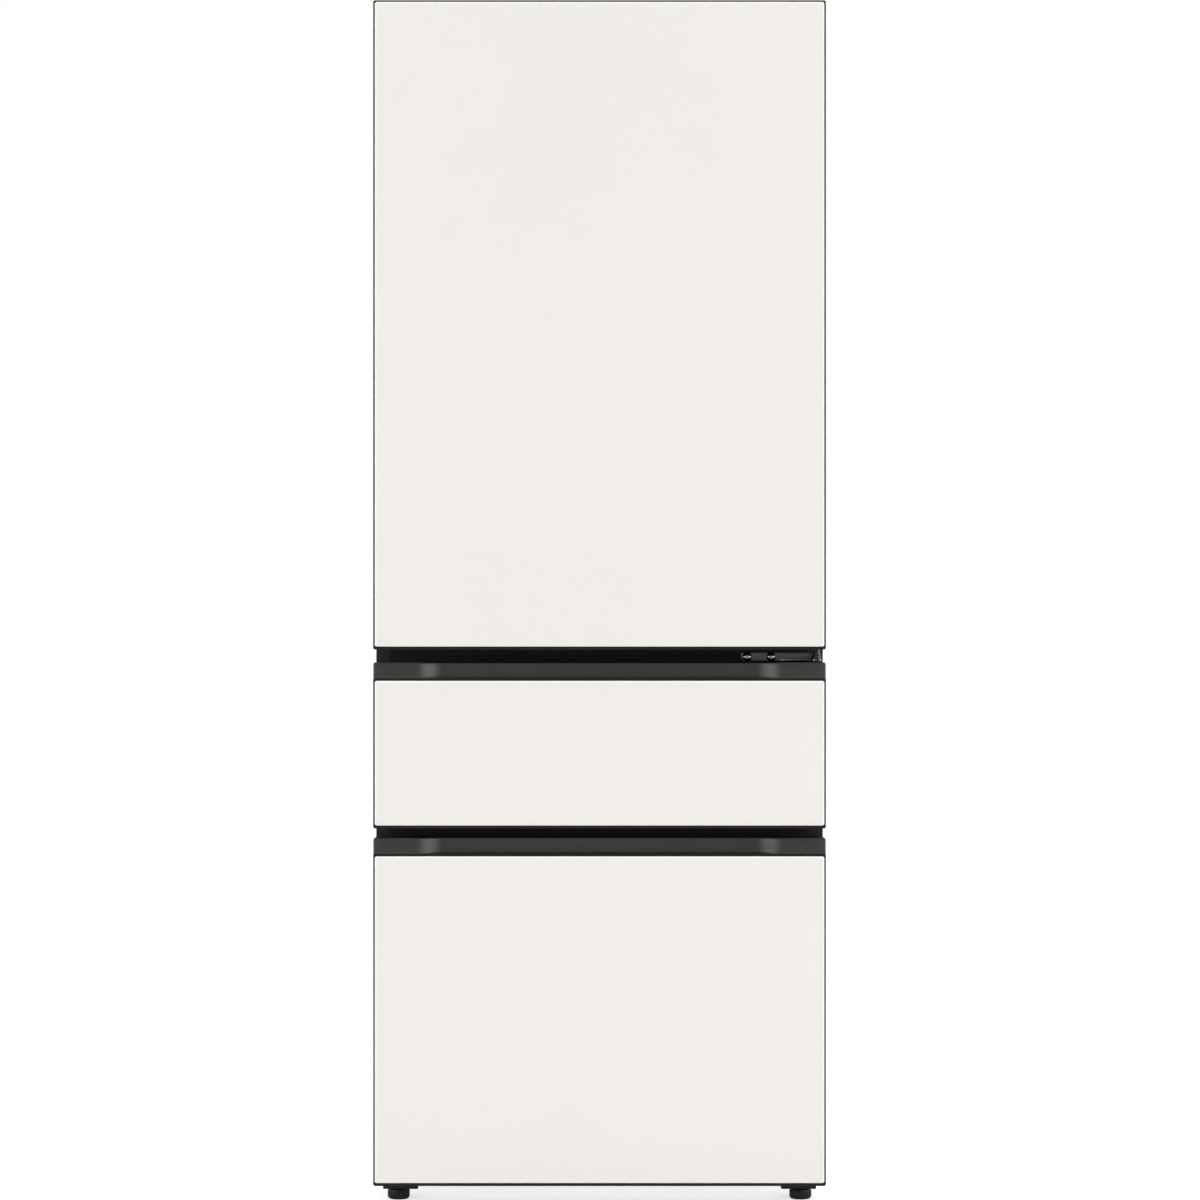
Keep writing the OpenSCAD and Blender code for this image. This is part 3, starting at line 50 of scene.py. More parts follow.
def shade(r, g, b):
    """A colour as a screen shows it, 0 to 255, in the shader's own scale."""
    return tuple((c / 255 / 12.92) if c < 11 else ((c / 255 + 0.055) / 1.055) ** 2.4
                 for c in (r, g, b)) + (1.0,)


def finish(name, main, second, rough, drift=5.0, grain=(700, 700, 700), relief=0.15,
           depth=0.00003, play=0.05, edge_wear_and_highlight=None, wear_and_highlight_from=0.53, cells=0, **fixed):
    """A surface: two close shades drift into each other, a fine grain varies the
    gloss and stands as relief, and the edge shade is the shade that sharp convex
    edges turn to: real wear on most finishes, a painted highlight on some."""
    made = bpy.data.materials.new(name)
    made.use_nodes = True
    tree = made.node_tree
    shader = tree.nodes["Principled BSDF"]
    noise_low, noise_high, wear_and_highlight_over, wear_and_highlight_share = 0.3, 0.7, 0.09, 0.7

    def added(kind, out, fed=(), **values):
        node = tree.nodes.new("ShaderNode" + kind)
        for key, value in values.items():
            node.inputs[key.replace("_", " ")].default_value = value
        for key, value in fed:
            tree.links.new(value, node.inputs[key])
        return node.outputs[out]

    def noise(at, scale):
        return added("TexNoise", "Fac", [("Vector", at)], Scale=scale, Detail=3.0)

    def spread(value, low, high, to_low, to_high):
        return added("MapRange", "Result", [("Value", value)], From_Min=low, From_Max=high,
                     To_Min=to_low, To_Max=to_high)

    def mixed(factor, first, other):
        node = tree.nodes.new("ShaderNodeMix")
        node.data_type = "RGBA"
        tree.links.new(factor, node.inputs["Factor"])
        for key, value in (("A", first), ("B", other)):
            socket = [s for s in node.inputs if s.name == key and s.type == "RGBA"][0]
            if isinstance(value, tuple):
                socket.default_value = shade(*value)
            else:
                tree.links.new(value, socket)
        return [s for s in node.outputs if s.type == "RGBA"][0]

    place = added("TexCoord", "Object")
    fine = noise(added("Mapping", "Vector", [("Vector", place)], Scale=grain), 1.0)
    broad = noise(place, drift)
    if cells:
        crystal = added("TexVoronoi", "Color", [("Vector", place)], Scale=cells)
        broad = added("SeparateColor", "Red", [("Color", crystal)])
    colour = mixed(spread(broad, noise_low, noise_high, 0.0, 1.0), main, second)
    # Sharp convex edges (high pointiness) turn to the edge shade: wear on most finishes, a
    # painted highlight on the handles, the middle hinge plate and its bolts.
    if edge_wear_and_highlight:
        edge = added("NewGeometry", "Pointiness")
        colour = mixed(spread(edge, wear_and_highlight_from, wear_and_highlight_from + wear_and_highlight_over, 0.0, wear_and_highlight_share),
                       colour, edge_wear_and_highlight)
    tree.links.new(colour, shader.inputs["Base Color"])
    tree.links.new(spread(fine, noise_low, noise_high, max(rough - play, 0.02), rough + play),
                   shader.inputs["Roughness"])
    tree.links.new(added("Bump", "Normal", [("Height", fine)], Strength=relief, Distance=depth),
                   shader.inputs["Normal"])
    for key, value in fixed.items():
        socket = key.replace("_", " ").title().replace("Ior", "IOR")
        shader.inputs[socket].default_value = value
    return made


def copied(node):
    """The CAD node's own shape, welded, with its flat faces whole again."""
    bm = bmesh.new()
    bm.from_mesh(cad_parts[node].data)
    bmesh.ops.remove_doubles(bm, verts=bm.verts, dist=2e-6)
    bmesh.ops.dissolve_limit(bm, angle_limit=math.radians(0.4), verts=bm.verts,
                             edges=bm.edges)
    return bm


def meshed(name, bm):
    """Turns a finished bmesh into a mesh."""
    mesh = bpy.data.meshes.new(name)
    bm.to_mesh(mesh)
    bm.free()
    return mesh


def placed(name, data):
    """A new object with this data in the scene."""
    made = bpy.data.objects.new(name, data)
    bpy.context.scene.collection.objects.link(made)
    return made


def piece(name, bm, body, material, stands_for=(), slot=None, edge=0.0, steps=2,
          smooth=34, turn=True):
    """Makes a mesh piece of the machine, rounds its edges and seats it."""
    if turn:
        bmesh.ops.recalc_face_normals(bm, faces=bm.faces)
    mesh = meshed(name, bm)
    mesh.materials.append(material)
    for face in mesh.polygons:
        face.material_index = 0
    mesh.shade_smooth()
    mesh.set_sharp_from_angle(angle=math.radians(smooth))
    made = placed(name, mesh)
    if edge:
        rounding = made.modifiers.new("edges", "BEVEL")
        rounding.width = edge
        rounding.segments = steps
        rounding.limit_method = "ANGLE"
        rounding.angle_limit = math.radians(smooth)
        rounding.harden_normals = True
        rounding.use_clamp_overlap = False
    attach(made, body)
    if stands_for:
        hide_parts(*stands_for)
    return made


def dressed(name, node, material, slot, body="cabinet", **rounding):
    """A piece in the CAD node's own shape that takes the node's place."""
    return piece(name, copied(node), body, material, [node], slot, **rounding)


galvanised = finish("galvanised_sheet", (157, 159, 161), (168, 170, 172), 0.42,
                    cells=210, metallic=0.85, play=0.09, relief=0.06)
dressed("base_tray", "base_frame", galvanised, "galvanised_steel", edge=0.0003)

# ---- feet and brackets
# Two black levelling feet, moulded in ribbed nylon on a threaded steel stud,
# turn in folded steel plates under the front corners. The ribs are there to
# grip while the foot is turned by hand.


def turned(bm, profile, steps=48, closed=False):
    """A lathe shape about Z from (radius, height) pairs in mm, bottom to top."""
    rows = []
    for radius, height in profile:
        radius, height = radius / 1000, height / 1000
        if radius < 1e-6:
            rows.append([bm.verts.new((0, 0, height))] * steps)
        else:
            rows.append([bm.verts.new((radius * math.cos(2 * math.pi * i / steps),
                                       radius * math.sin(2 * math.pi * i / steps), height))
                         for i in range(steps)])
    pairs = list(zip(rows, rows[1:])) + ([(rows[-1], rows[0])] if closed else [])
    for low, high in pairs:
        for i in range(steps):
            j = (i + 1) % steps
            corners = []
            for v in (low[i], low[j], high[j], high[i]):
                if v not in corners:
                    corners.append(v)
            if len(corners) > 2:
                bm.faces.new(corners)
    if not closed:
        for row in (rows[0], rows[-1]):
            if row[0] is not row[1]:
                bm.faces.new(row)


def block(bm, low, high):
    """A plain block between two corners; its edges are rounded later."""
    made = bmesh.ops.create_cube(bm, size=1)
    low, high = Vector(low), Vector(high)
    bmesh.ops.transform(bm, verts=made["verts"],
                        matrix=Matrix.Translation((low + high) / 2)
                        @ Matrix.Diagonal((*(high - low), 1)))


def copies_tree(name, kinds, lay_out):
    """Node tree: a copy of a pattern on each point of a layout, moved to its place."""
    tree = bpy.data.node_groups.new(name, "GeometryNodeTree")
    for label, kind in (*kinds, ("Pattern", "Object"), ("Place", "Vector"),
                        ("Finish", "Material")):
        tree.interface.new_socket(label, in_out="INPUT", socket_type="NodeSocket" + kind)
    tree.interface.new_socket("Geometry", in_out="OUTPUT", socket_type="NodeSocketGeometry")
    add, link = tree.nodes.new, tree.links.new
    given, out = add("NodeGroupInput").outputs, add("NodeGroupOutput")
    thing, copies = add("GeometryNodeObjectInfo"), add("GeometryNodeInstanceOnPoints")
    link(given["Pattern"], thing.inputs["Object"])
    link(thing.outputs["Geometry"], copies.inputs["Instance"])
    lay_out(add, link, given, copies.inputs)
    real, move = add("GeometryNodeRealizeInstances"), add("GeometryNodeSetPosition")
    link(copies.outputs["Instances"], real.inputs["Geometry"])
    link(real.outputs["Geometry"], move.inputs["Geometry"])
    link(given["Place"], move.inputs["Offset"])
    coat = add("GeometryNodeSetMaterial")
    link(move.outputs["Geometry"], coat.inputs["Geometry"])
    link(given["Finish"], coat.inputs["Material"])
    link(coat.outputs["Geometry"], out.inputs["Geometry"])
    return tree


def in_a_circle(add, link, given, copies):
    """Points round a circle, where the copies face outwards."""
    circle, outward = add("GeometryNodeMeshCircle"), add("FunctionNodeAlignRotationToVector")
    link(given["Ribs"], circle.inputs["Vertices"])
    link(given["Circle radius"], circle.inputs["Radius"])
    outward.axis = "X"
    link(add("GeometryNodeInputPosition").outputs["Position"], outward.inputs["Vector"])
    link(circle.outputs["Mesh"], copies["Points"])
    link(outward.outputs["Rotation"], copies["Rotation"])


def grown(bm, tree, shape, coat, layouts, spots=()):
    """Copies a small shape into bm with a node tree, once for each layout."""
    bmesh.ops.recalc_face_normals(shape, faces=shape.faces)
    pattern = placed("pattern", meshed("pattern", shape))
    for layout in layouts:
        values = {"Pattern": pattern, "Finish": coat, **layout}
        mesh = bpy.data.meshes.new("spots")
        mesh.from_pydata(list(spots), [], [])
        holder = placed("holder", mesh)
        modifier = holder.modifiers.new("repeat", "NODES")
        modifier.node_group = tree
        for item in tree.interface.items_tree:
            if item.name in values:
                modifier[item.identifier] = values[item.name]
        bpy.context.view_layer.update()
        result = bpy.data.meshes.new_from_object(
            holder.evaluated_get(bpy.context.evaluated_depsgraph_get()))
        bm.from_mesh(result)
        bpy.data.objects.remove(holder)
        bpy.data.meshes.remove(result)
    bpy.data.objects.remove(pattern)


ribs_in_a_circle = copies_tree(
    "ribs_in_a_circle", (("Ribs", "Int"), ("Circle radius", "Float")), in_a_circle)
black_steel = finish("black_steel", (17, 17, 18), (22, 22, 23), 0.42,
                     specular_ior_level=0.2, edge_wear_and_highlight=(40, 40, 41), relief=0.1)
foot_nylon = finish("foot_nylon", (14, 14, 15), (19, 19, 20), 0.5, relief=0.3,
                    edge_wear_and_highlight=(36, 36, 36), depth=0.00006, specular_ior_level=0.2)
dressed("base_brackets_folded", "base_brackets", black_steel, "black_steel", edge=0.0004)
for side in ("left", "right"):
    low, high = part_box("foot_" + side)
    middle = (low + high) / 2
    rim, stud_top = (high.x - low.x) * 500, high.z * 1000
    disc_top, pitch, threads, ribs = 14.7, 1.5, 16, 24
    bm = bmesh.new()
    turned(bm, [(0, 0), (rim - 3.2, 0), (rim - 2, 0.3), (rim - 1.3, 1.1), (rim - 1, 2.2),
                (rim - 0.8, 13), (rim - 1.2, 14.2), (rim - 2.2, disc_top), (7.5, disc_top),
                (0, disc_top)])
    stud = [(0, disc_top - 1)]
    for i in range(threads):
        stud += [(4.5, disc_top - 1 + pitch * i), (5, disc_top - 0.3 + pitch * i)]
    turned(bm, stud + [(4.4, stud_top - 0.6), (3.6, stud_top), (0, stud_top)], 24)
    bmesh.ops.translate(bm, verts=bm.verts, vec=(middle.x, middle.y, 0))
    rib = bmesh.new()
    block(rib, (-0.0015, -0.0012, 0.0028), (0.0, 0.0012, 0.0128))
    bmesh.ops.bevel(rib, geom=[e for e in rib.edges
                               if all(abs(v.co.x) < 1e-6 for v in e.verts)],
                    offset=0.0007, segments=2, profile=0.5, affect="EDGES")
    grown(bm, ribs_in_a_circle, rib, foot_nylon, [
        {"Ribs": ribs, "Circle radius": rim / 1000, "Place": (middle.x, middle.y, 0)}])
    piece("levelling_foot_" + side, bm, side + "_foot", foot_nylon, ["foot_" + side],
          "rubber_black", smooth=40)

# ---- rear rollers
# Hard grey plastic rollers carry the back of the cabinet. Each runs on a steel
# axle in a fork of the base, and has a crowned tread and dished sides.
roller_grey = finish("roller_plastic", (52, 52, 54), (62, 62, 63), 0.5,
                     edge_wear_and_highlight=(88, 88, 88), relief=0.25, depth=0.00006)
for side in ("left", "right"):
    low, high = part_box("roller_" + side)
    half, tread = (high.x - low.x) * 500, (high.z - low.z) * 500
    dish = [(3.2, half), (6.2, half), (6.8, half - 2), (tread - 4, half - 2.2),
            (tread - 3.4, half - 0.2), (tread - 1.8, half - 0.2), (tread - 0.4, half - 1.6)]
    bm = bmesh.new()
    turned(bm, [(r, -x) for r, x in dish] + [(tread, 0)] + dish[::-1], 40, closed=True)
    bmesh.ops.rotate(bm, verts=bm.verts, cent=(0, 0, 0),
                     matrix=Matrix.Rotation(math.pi / 2, 3, "Y"))
    bmesh.ops.translate(bm, verts=bm.verts, vec=(low + high) / 2)
    piece("rear_roller_" + side, bm, side + "_roller", roller_grey, ["roller_" + side],
          "roller_plastic", smooth=40)

# ---- compressor
# A hermetic compressor in two welded steel cups, painted black all over with
# its terminal cover and stub pipes. It stands on four rubber mounts.
casing_black = finish("compressor_paint", (22, 22, 24), (30, 30, 32), 0.35,
                      edge_wear_and_highlight=(70, 70, 72), relief=0.2, depth=0.00005)
dressed("compressor_casing", "compressor", casing_black, "black_steel", edge=0.0008,
        smooth=38)
mount_rubber = finish("mount_rubber", (30, 30, 30), (40, 40, 40), 0.8, relief=0.4,
                      depth=0.0001)
bm = bmesh.new()
low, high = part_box("compressor_mounts")
mount_r = 0.013
for x in (low.x + mount_r, high.x - mount_r):
    for y in (low.y + mount_r, high.y - mount_r):
        start = len(bm.verts)
        turned(bm, [(0, 0), (12.5, 0), (13, 1), (13, 4), (9.8, 7), (9.8, 9), (12.8, 12),
                    (12.8, 14), (9.6, 16.5), (11.2, 20), (11.2, 22), (5.4, 22), (5.4, 26.2),
                    (4.6, 28), (0, 28)], 28)
        bm.verts.ensure_lookup_table()
        bmesh.ops.translate(bm, verts=bm.verts[start:], vec=(x, y, low.z))
piece("compressor_feet", bm, "cabinet", mount_rubber, ["compressor_mounts"], "rubber_black")

# ---- condenser, fans and drip pan
# Finned tubes give off the heat over the drip pan, and a fan draws room air
# through them. The motors hang in moulded rings.


def repainted(node, material):
    """Gives a CAD node that stays in the scene its finish."""
    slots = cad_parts[node].data.materials
    slots.clear()
    slots.append(material)


repainted("condenser", finish("condenser_paint", (44, 44, 46), (56, 56, 58), 0.45,
                              metallic=0.4, relief=0.1))
repainted("evaporator", finish("fin_aluminium", (186, 188, 190), (204, 206, 207), 0.32,
                               metallic=0.9, grain=(90, 900, 900), relief=0.08))
fan_white = finish("fan_plastic", (214, 214, 210), (224, 224, 221), 0.42, relief=0.1)
motor_grey = finish("motor_plastic", (70, 71, 74), (82, 83, 86), 0.5, relief=0.2,
                    edge_wear_and_highlight=(110, 110, 112))
for fan in ("evaporator_fan", "condenser_fan"):
    dressed(fan + "_wheel", fan, fan_white, "fan_plastic", fan + "_wheel", edge=0.0002,
            smooth=30)
dressed("fan_rings_and_motors", "fan_motors", motor_grey, "motor_plastic", edge=0.0006,
        smooth=30)
pan_white = finish("pan_plastic", (206, 207, 204), (216, 217, 214), 0.5, relief=0.15)
dressed("defrost_pan", "drip_pan", pan_white, "pan_plastic", edge=0.0008)

# ---- outer shell
# One sheet-steel wrapper for both sides and the top, painted a dark grey.
# Its front and rear edges are folded inwards, with a small bend radius.
shell_paint = finish("shell_paint", (33, 33, 34), (37, 37, 38), 0.44,
                     grain=(420, 420, 420), relief=0.10, depth=0.00005, play=0.04,
                     edge_wear_and_highlight=(46, 46, 47), specular_ior_level=0.16)
dressed("cabinet_shell", "outer_shell", shell_paint, "shell_paint", edge=0.0005)
repainted("insulation_foam", finish("insulation_foam", (214, 196, 130), (224, 208, 148), 0.9,
                                    relief=0.6, depth=0.0004, grain=(260, 260, 260)))

# ---- back panel
# Galvanised sheet with long pressed beads that stiffen it. The electronics
# box is let into it, and the lead's bush sits low down at one side.


def in_rows(add, link, given, copies):
    """Points in even rows, across and upwards."""
    across, up = add("GeometryNodeMeshLine"), add("GeometryNodeMeshLine")
    for line, count in ((across, "Across"), (up, "Up")):
        link(given[count], line.inputs["Count"])
        link(given[count + " step"], line.inputs["Offset"])
    grid, points = add("GeometryNodeInstanceOnPoints"), add("GeometryNodeRealizeInstances")
    link(across.outputs["Mesh"], grid.inputs["Points"])
    link(up.outputs["Mesh"], grid.inputs["Instance"])
    link(grid.outputs["Instances"], points.inputs["Geometry"])
    link(points.outputs["Geometry"], copies["Points"])


rows_of_a_piece = copies_tree("rows_of_a_piece", (
    ("Across", "Int"), ("Up", "Int"), ("Across step", "Vector"), ("Up step", "Vector")),
    in_rows)


def in_even_rows(bm, shape, coat, places, across=1, up=1, step=1.0):
    """Rows of a small shape that start at each of the places."""
    grown(bm, rows_of_a_piece, shape, coat, [
        {"Across": across, "Up": up, "Across step": (step, 0, 0), "Up step": (0, 0, step),
         "Place": place} for place in places])


def loop(low, high, at, r, facing=False, n=6):
    """Points of a rounded rectangle that lies at height at, or stands at depth at."""
    (u0, v0), (u1, v1) = low, high
    r = max(r, 1e-5)
    points = []
    for cu, cv, start in ((u1 - r, v1 - r, 0), (u0 + r, v1 - r, 90),
                          (u0 + r, v0 + r, 180), (u1 - r, v0 + r, 270)):
        for i in range(n + 1):
            a = math.radians(start + 90 * i / n)
            u, v = cu + r * math.cos(a), cv + r * math.sin(a)
            points.append((u, at, v) if facing else (u, v, at))
    return points


def stepped(low, high, base, profile, r, least=0.0, facing=False, n=6):
    """Loops for a skin. Each is drawn in from the two corners by the first number
    of its pair and set off from the base by the second, both in mm."""
    loops = []
    for inset, off in profile:
        i = inset / 1000
        loops.append(loop((low[0] + i, low[1] + i), (high[0] - i, high[1] - i),
                          base + off / 1000, max(r - i, least), facing, n))
    return loops


def skin(bm, loops, joined=False, ends=(True, True)):
    """Faces from each loop of points to the next; joined closes the round."""
    rows = [[bm.verts.new(p) for p in points] for points in loops]
    for a, b in list(zip(rows, rows[1:])) + ([(rows[-1], rows[0])] if joined else []):
        for i in range(len(a)):
            j = (i + 1) % len(a)
            bm.faces.new((a[i], a[j], b[j], b[i]))
    if not joined:
        if ends[0]:
            bm.faces.new(rows[0][::-1])
        if ends[1]:
            bm.faces.new(rows[-1])


low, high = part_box("back_panel")
bm = copied("back_panel")
bead_wide, bead_long, beads, bead_step = 0.016, 0.78, 7, 0.088
bead = bmesh.new()
skin(bead, stepped((-bead_wide / 2, 0), (bead_wide / 2, bead_long), 0, (
    (0, -0.6), (0, 0), (1.6, 1.43), (3.6, 2.392), (5.2, 2.6)), bead_wide / 2, facing=True))
in_even_rows(bm, bead, galvanised, [(-bead_step * (beads - 1) / 2, high.y, 0.545)],
             across=beads, step=bead_step)
piece("pressed_back_panel", bm, "cabinet", galvanised, ["back_panel"], "galvanised_steel",
      edge=0.0003)
cover_grey = finish("cover_plastic", (112, 113, 115), (122, 123, 125), 0.5,
                    edge_wear_and_highlight=(146, 146, 148), relief=0.25, depth=0.00005)
dressed("electronics_box", "control_box", cover_grey, "cover_plastic", edge=0.0006)
bush_black = finish("bush_rubber", (20, 20, 20), (30, 30, 30), 0.7, relief=0.35,
                    depth=0.0001)
dressed("lead_bush", "cord_gland", bush_black, "black_plastic", edge=0.0008, steps=3)

# ---- rear cover
# A moulded grey cover closes the machine compartment. Three fields of louvres
# let the room air in and out, and four screws hold it by its rim.
low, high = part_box("rear_cover")
bm = copied("rear_cover")
vane = bmesh.new()
skin(vane, stepped((-0.0765, 0), (0.0765, 0.0022), 0, ((0, -0.6), (0, 1.2)), 0.001,
                   facing=True, n=3))
vane_tip, vane_slope, field_step = 0.0012, 1.2, 0.66 * 0.330
for v in vane.verts:
    v.co.z += (vane_tip - v.co.y) * vane_slope
in_even_rows(bm, vane, cover_grey, [(x, high.y - 0.0015, low.z + 0.0325) for x in (
    -field_step, 0.0, field_step)], up=12, step=0.013)
piece("louvred_rear_cover", bm, "cabinet", cover_grey, ["rear_cover"], "cover_plastic",
      edge=0.0005)

# ---- liners
# Each room is a thin white tray, vacuum-formed in one piece, so that all its
# inner corners are rounded. A flat lip round the opening meets the shell.
liner_white = finish("liner_plastic", (232, 233, 232), (238, 239, 238), 0.36,
                     relief=0.12, depth=0.00005, grain=(500, 500, 500), play=0.04)
room_x, room_back, lip_x = 0.283, 0.290, 0.313
upper_floor, upper_ceiling = 0.8513, 1.716


def room(bm, profile, lip_low, lip_high):
    """A room's inner faces from its outline in the YZ plane, which runs from the
    lower to the upper edge of its mouth, with the lip that turns out from there."""
    left = [bm.verts.new((-room_x, y, z)) for y, z in profile]
    right = [bm.verts.new((room_x, y, z)) for y, z in profile]
    bm.faces.new(left)
    bm.faces.new(right[::-1])
    for i in range(len(profile) - 1):
        bm.faces.new((left[i + 1], left[i], right[i], right[i + 1]))
    front, floor = profile[0]
    mouth = (left[0], right[0], right[-1], left[-1])
    outer = [bm.verts.new((side * lip_x, front, z)) for side, z in (
        (-1, lip_low), (1, lip_low), (1, lip_high), (-1, lip_high))]
    for i in range(4):
        j = (i + 1) % 4
        bm.faces.new((mouth[i], mouth[j], outer[j], outer[i]))
    inner = [e for e in bm.edges if any(abs(v.co.y - front) > 1e-6 for v in e.verts)]
    bmesh.ops.bevel(bm, geom=inner, offset=0.014, segments=5, profile=0.5, affect="EDGES")
    bmesh.ops.recalc_face_normals(bm, faces=bm.faces)
    if sum(f.normal.z * f.calc_area() for f in bm.faces
           if abs(f.calc_center_median().z - floor) < 1e-4) < 0:
        bmesh.ops.reverse_faces(bm, faces=bm.faces)


def lined(name, bm, node):
    """Gives a room's skin the liner's thickness, away from the room."""
    wall = piece(name, bm, "cabinet", liner_white, [node], "liner_plastic", smooth=40,
                 turn=False).modifiers.new("wall", "SOLIDIFY")
    wall.thickness = 0.0011
    wall.offset = -1.0


low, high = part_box("upper_liner")
bm = bmesh.new()
room(bm, [(low.y, upper_floor), (room_back, upper_floor), (room_back, upper_ceiling),
          (low.y, upper_ceiling)], 0.8512, 1.748)
lined("upper_room_liner", bm, "upper_liner")

low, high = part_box("drawer_liners")
bm, lower = bmesh.new(), bmesh.new()
floor, ceiling = 0.5905, 0.7713
room(bm, [(low.y, floor), (room_back, floor), (room_back, ceiling), (low.y, ceiling)],
     0.5904, 0.7714)
floor, ceiling, step_y, step_z = 0.090, 0.5105, 0.066, 0.290
room(lower, [(low.y, floor), (step_y, floor), (step_y, step_z), (room_back, step_z),
             (room_back, ceiling), (low.y, ceiling)], low.z, 0.5106)
bm.from_mesh(meshed("lower_room", lower))
lined("drawer_room_liners", bm, "drawer_liners")


def ledges(bm, inner, outer, y0, y1, tops, tall):
    """Blocks on both sides that carry something at each of the given heights."""
    for side in (-1, 1):
        for top in tops:
            x0, x1 = sorted((side * inner, side * outer))
            block(bm, (x0, y0, top - tall), (x1, y1, top))


# Shelf ledges are moulded in the side walls, with rounded noses at the front.
shelf_thick = 0.005
ledge_tops = (1.0603, 1.2743, 1.4883)
bm = bmesh.new()
ledges(bm, 0.272, 0.2835, -0.184, 0.219, ledge_tops, 0.011)
piece("shelf_ledges", bm, "cabinet", liner_white, (), "liner_plastic", edge=0.003, steps=3)

# ---- cross rails
# Painted steel channels between the rooms. The gaskets of the door and of the
# drawers close against them, and the middle hinge is bolted to the upper one.
rail_paint = finish("rail_paint", (16, 16, 17), (21, 21, 22), 0.5, relief=0.12,
                    edge_wear_and_highlight=(46, 46, 47), specular_ior_level=0.14)
dressed("front_cross_rails", "cross_rails", rail_paint, "rail_paint", edge=0.0005)

# ---- duct cover
# A satin plastic cover over the evaporator, with a raised middle field. Cold
# air leaves by the paired slots at each shelf and returns at the bottom.
duct_silver = finish("duct_plastic", (196, 199, 202), (204, 207, 209), 0.34,
                     grain=(800, 800, 260), relief=0.1, metallic=0.15)
low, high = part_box("duct_cover")
bm = copied("duct_cover")
margin, slot_step, slot_x = 0.012, 0.214, 0.100
skin(bm, stepped((low.x + margin, low.z + 0.062), (high.x - margin, high.z - margin), low.y,
                 ((0, 0.6), (0, 0.1), (0.6, -0.4)), margin, facing=True), ends=(False, False))
blade = bmesh.new()
block(blade, (-0.0806, 0.0, -0.0004), (0.0806, 0.004, 0.0006))
in_even_rows(bm, blade, duct_silver, [
    (x, low.y + 0.0006, upper_floor + slot_step * i + 0.150)
    for i in range(4) for x in (-slot_x, slot_x)], up=2, step=0.014)
piece("cold_air_duct_cover", bm, "cabinet", duct_silver, ["duct_cover"], "duct_plastic",
      edge=0.0008, steps=3)

# ---- touch panel and lamp
# A black glass strip hangs under the ceiling of the upper room. It carries
# plain dots and bars in place of keys, and the lamp behind it has a ribbed
# opal diffuser.
touch_glass = finish("touch_glass", (12, 12, 14), (16, 16, 18), 0.08, play=0.02,
                     relief=0.02, coat_weight=0.6, coat_roughness=0.04)
low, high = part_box("control_panel")
bm = bmesh.new()
skin(bm, stepped(low.xy, high.xy, low.z, (
    (3, 0), (0.8, 0.8), (0, 3), (0, (high.z - low.z) * 1000)), 0.008))
piece("touch_panel", bm, "cabinet", touch_glass, ["control_panel"], "touch_panel", smooth=40)
mark_white = finish("touch_marks", (196, 200, 204), (206, 210, 214), 0.5)
dot, bar = bmesh.new(), bmesh.new()
turned(dot, [(0, -0.3), (2.2, -0.3), (2.2, 0.2), (0, 0.2)], 16)
block(bar, (-0.006, -0.0006, -0.0003), (0.006, 0.0006, 0.0002))
marks, mark_step = 7, 0.032
bm = bmesh.new()
for mark, row in ((dot, 0.030), (bar, 0.050)):
    in_even_rows(bm, mark, mark_white, [(-mark_step * (marks - 1) / 2, low.y + row, low.z)],
                 across=marks, step=mark_step)
piece("touch_panel_marks", bm, "cabinet", mark_white, (), "touch_panel")
opal = finish("lamp_diffuser", (240, 240, 232), (246, 246, 240), 0.3, relief=0.1,
              transmission_weight=0.35)
low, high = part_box("lamp_lens")
bm = copied("lamp_lens")
rib, ribs, rib_step = bmesh.new(), 31, 0.006
block(rib, (-0.0012, low.y + 0.006, -0.0005), (0.0012, high.y - 0.006, 0.0012))
in_even_rows(bm, rib, opal, [(-rib_step * (ribs - 1) / 2, 0, low.z + 0.0002)], across=ribs,
             step=rib_step)
piece("ceiling_lamp_diffuser", bm, "cabinet", opal, ["lamp_lens"], "lamp_diffuser", edge=0.0006)

# ---- shelves
# Tempered glass with ground edges, in silver-grey edge trims that are clipped
# on at the front and the back. The front trim has a rounded lip and a groove.
shelf_clear = finish("shelf_glass", (234, 243, 240), (238, 246, 243), 0.04, play=0.01,
                     relief=0.02, transmission_weight=0.92, ior=1.5)
low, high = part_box("shelf_glass")
bm = bmesh.new()
shelf_tops = [top + shelf_thick for top in ledge_tops]
for top in shelf_tops:
    skin(bm, stepped(low.xy, high.xy, top, ((0.8, -5), (0, -4.2), (0, -0.8), (0.8, 0)), 0.006))
piece("glass_shelves", bm, "cabinet", shelf_clear, ["shelf_glass"], "shelf_glass", smooth=40)
trim_silver = finish("trim_plastic", (176, 179, 182), (188, 190, 193), 0.28,
                     grain=(60, 900, 900), metallic=0.5, relief=0.06, edge_wear_and_highlight=(214, 215, 216))
low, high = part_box("shelf_trims")
bm = bmesh.new()
for top in shelf_tops:
    for outer_y, way in ((low.y, 1), (high.y, -1)):
        skin(bm, [[(x, outer_y + way * d / 1000, top + h / 1000) for d, h in (
            (0, -6.5), (0, 1.2), (0.6, 2.4), (1.8, 3), (4.5, 3), (13.5, 3), (14, 2.6),
            (14, 0.3), (5.2, 0.3), (5.2, -5.3), (13.6, -5.3), (13.6, -7.5), (6, -7.8),
            (3, -10.8), (1.2, -10.9), (0.3, -9.8), (0, -8.5), (0.8, -8), (0.8, -7))]
            for x in (-high.x, high.x)])
piece("shelf_edge_trims", bm, "cabinet", trim_silver, ["shelf_trims"], "trim_plastic",
      edge=0.0003, smooth=40)

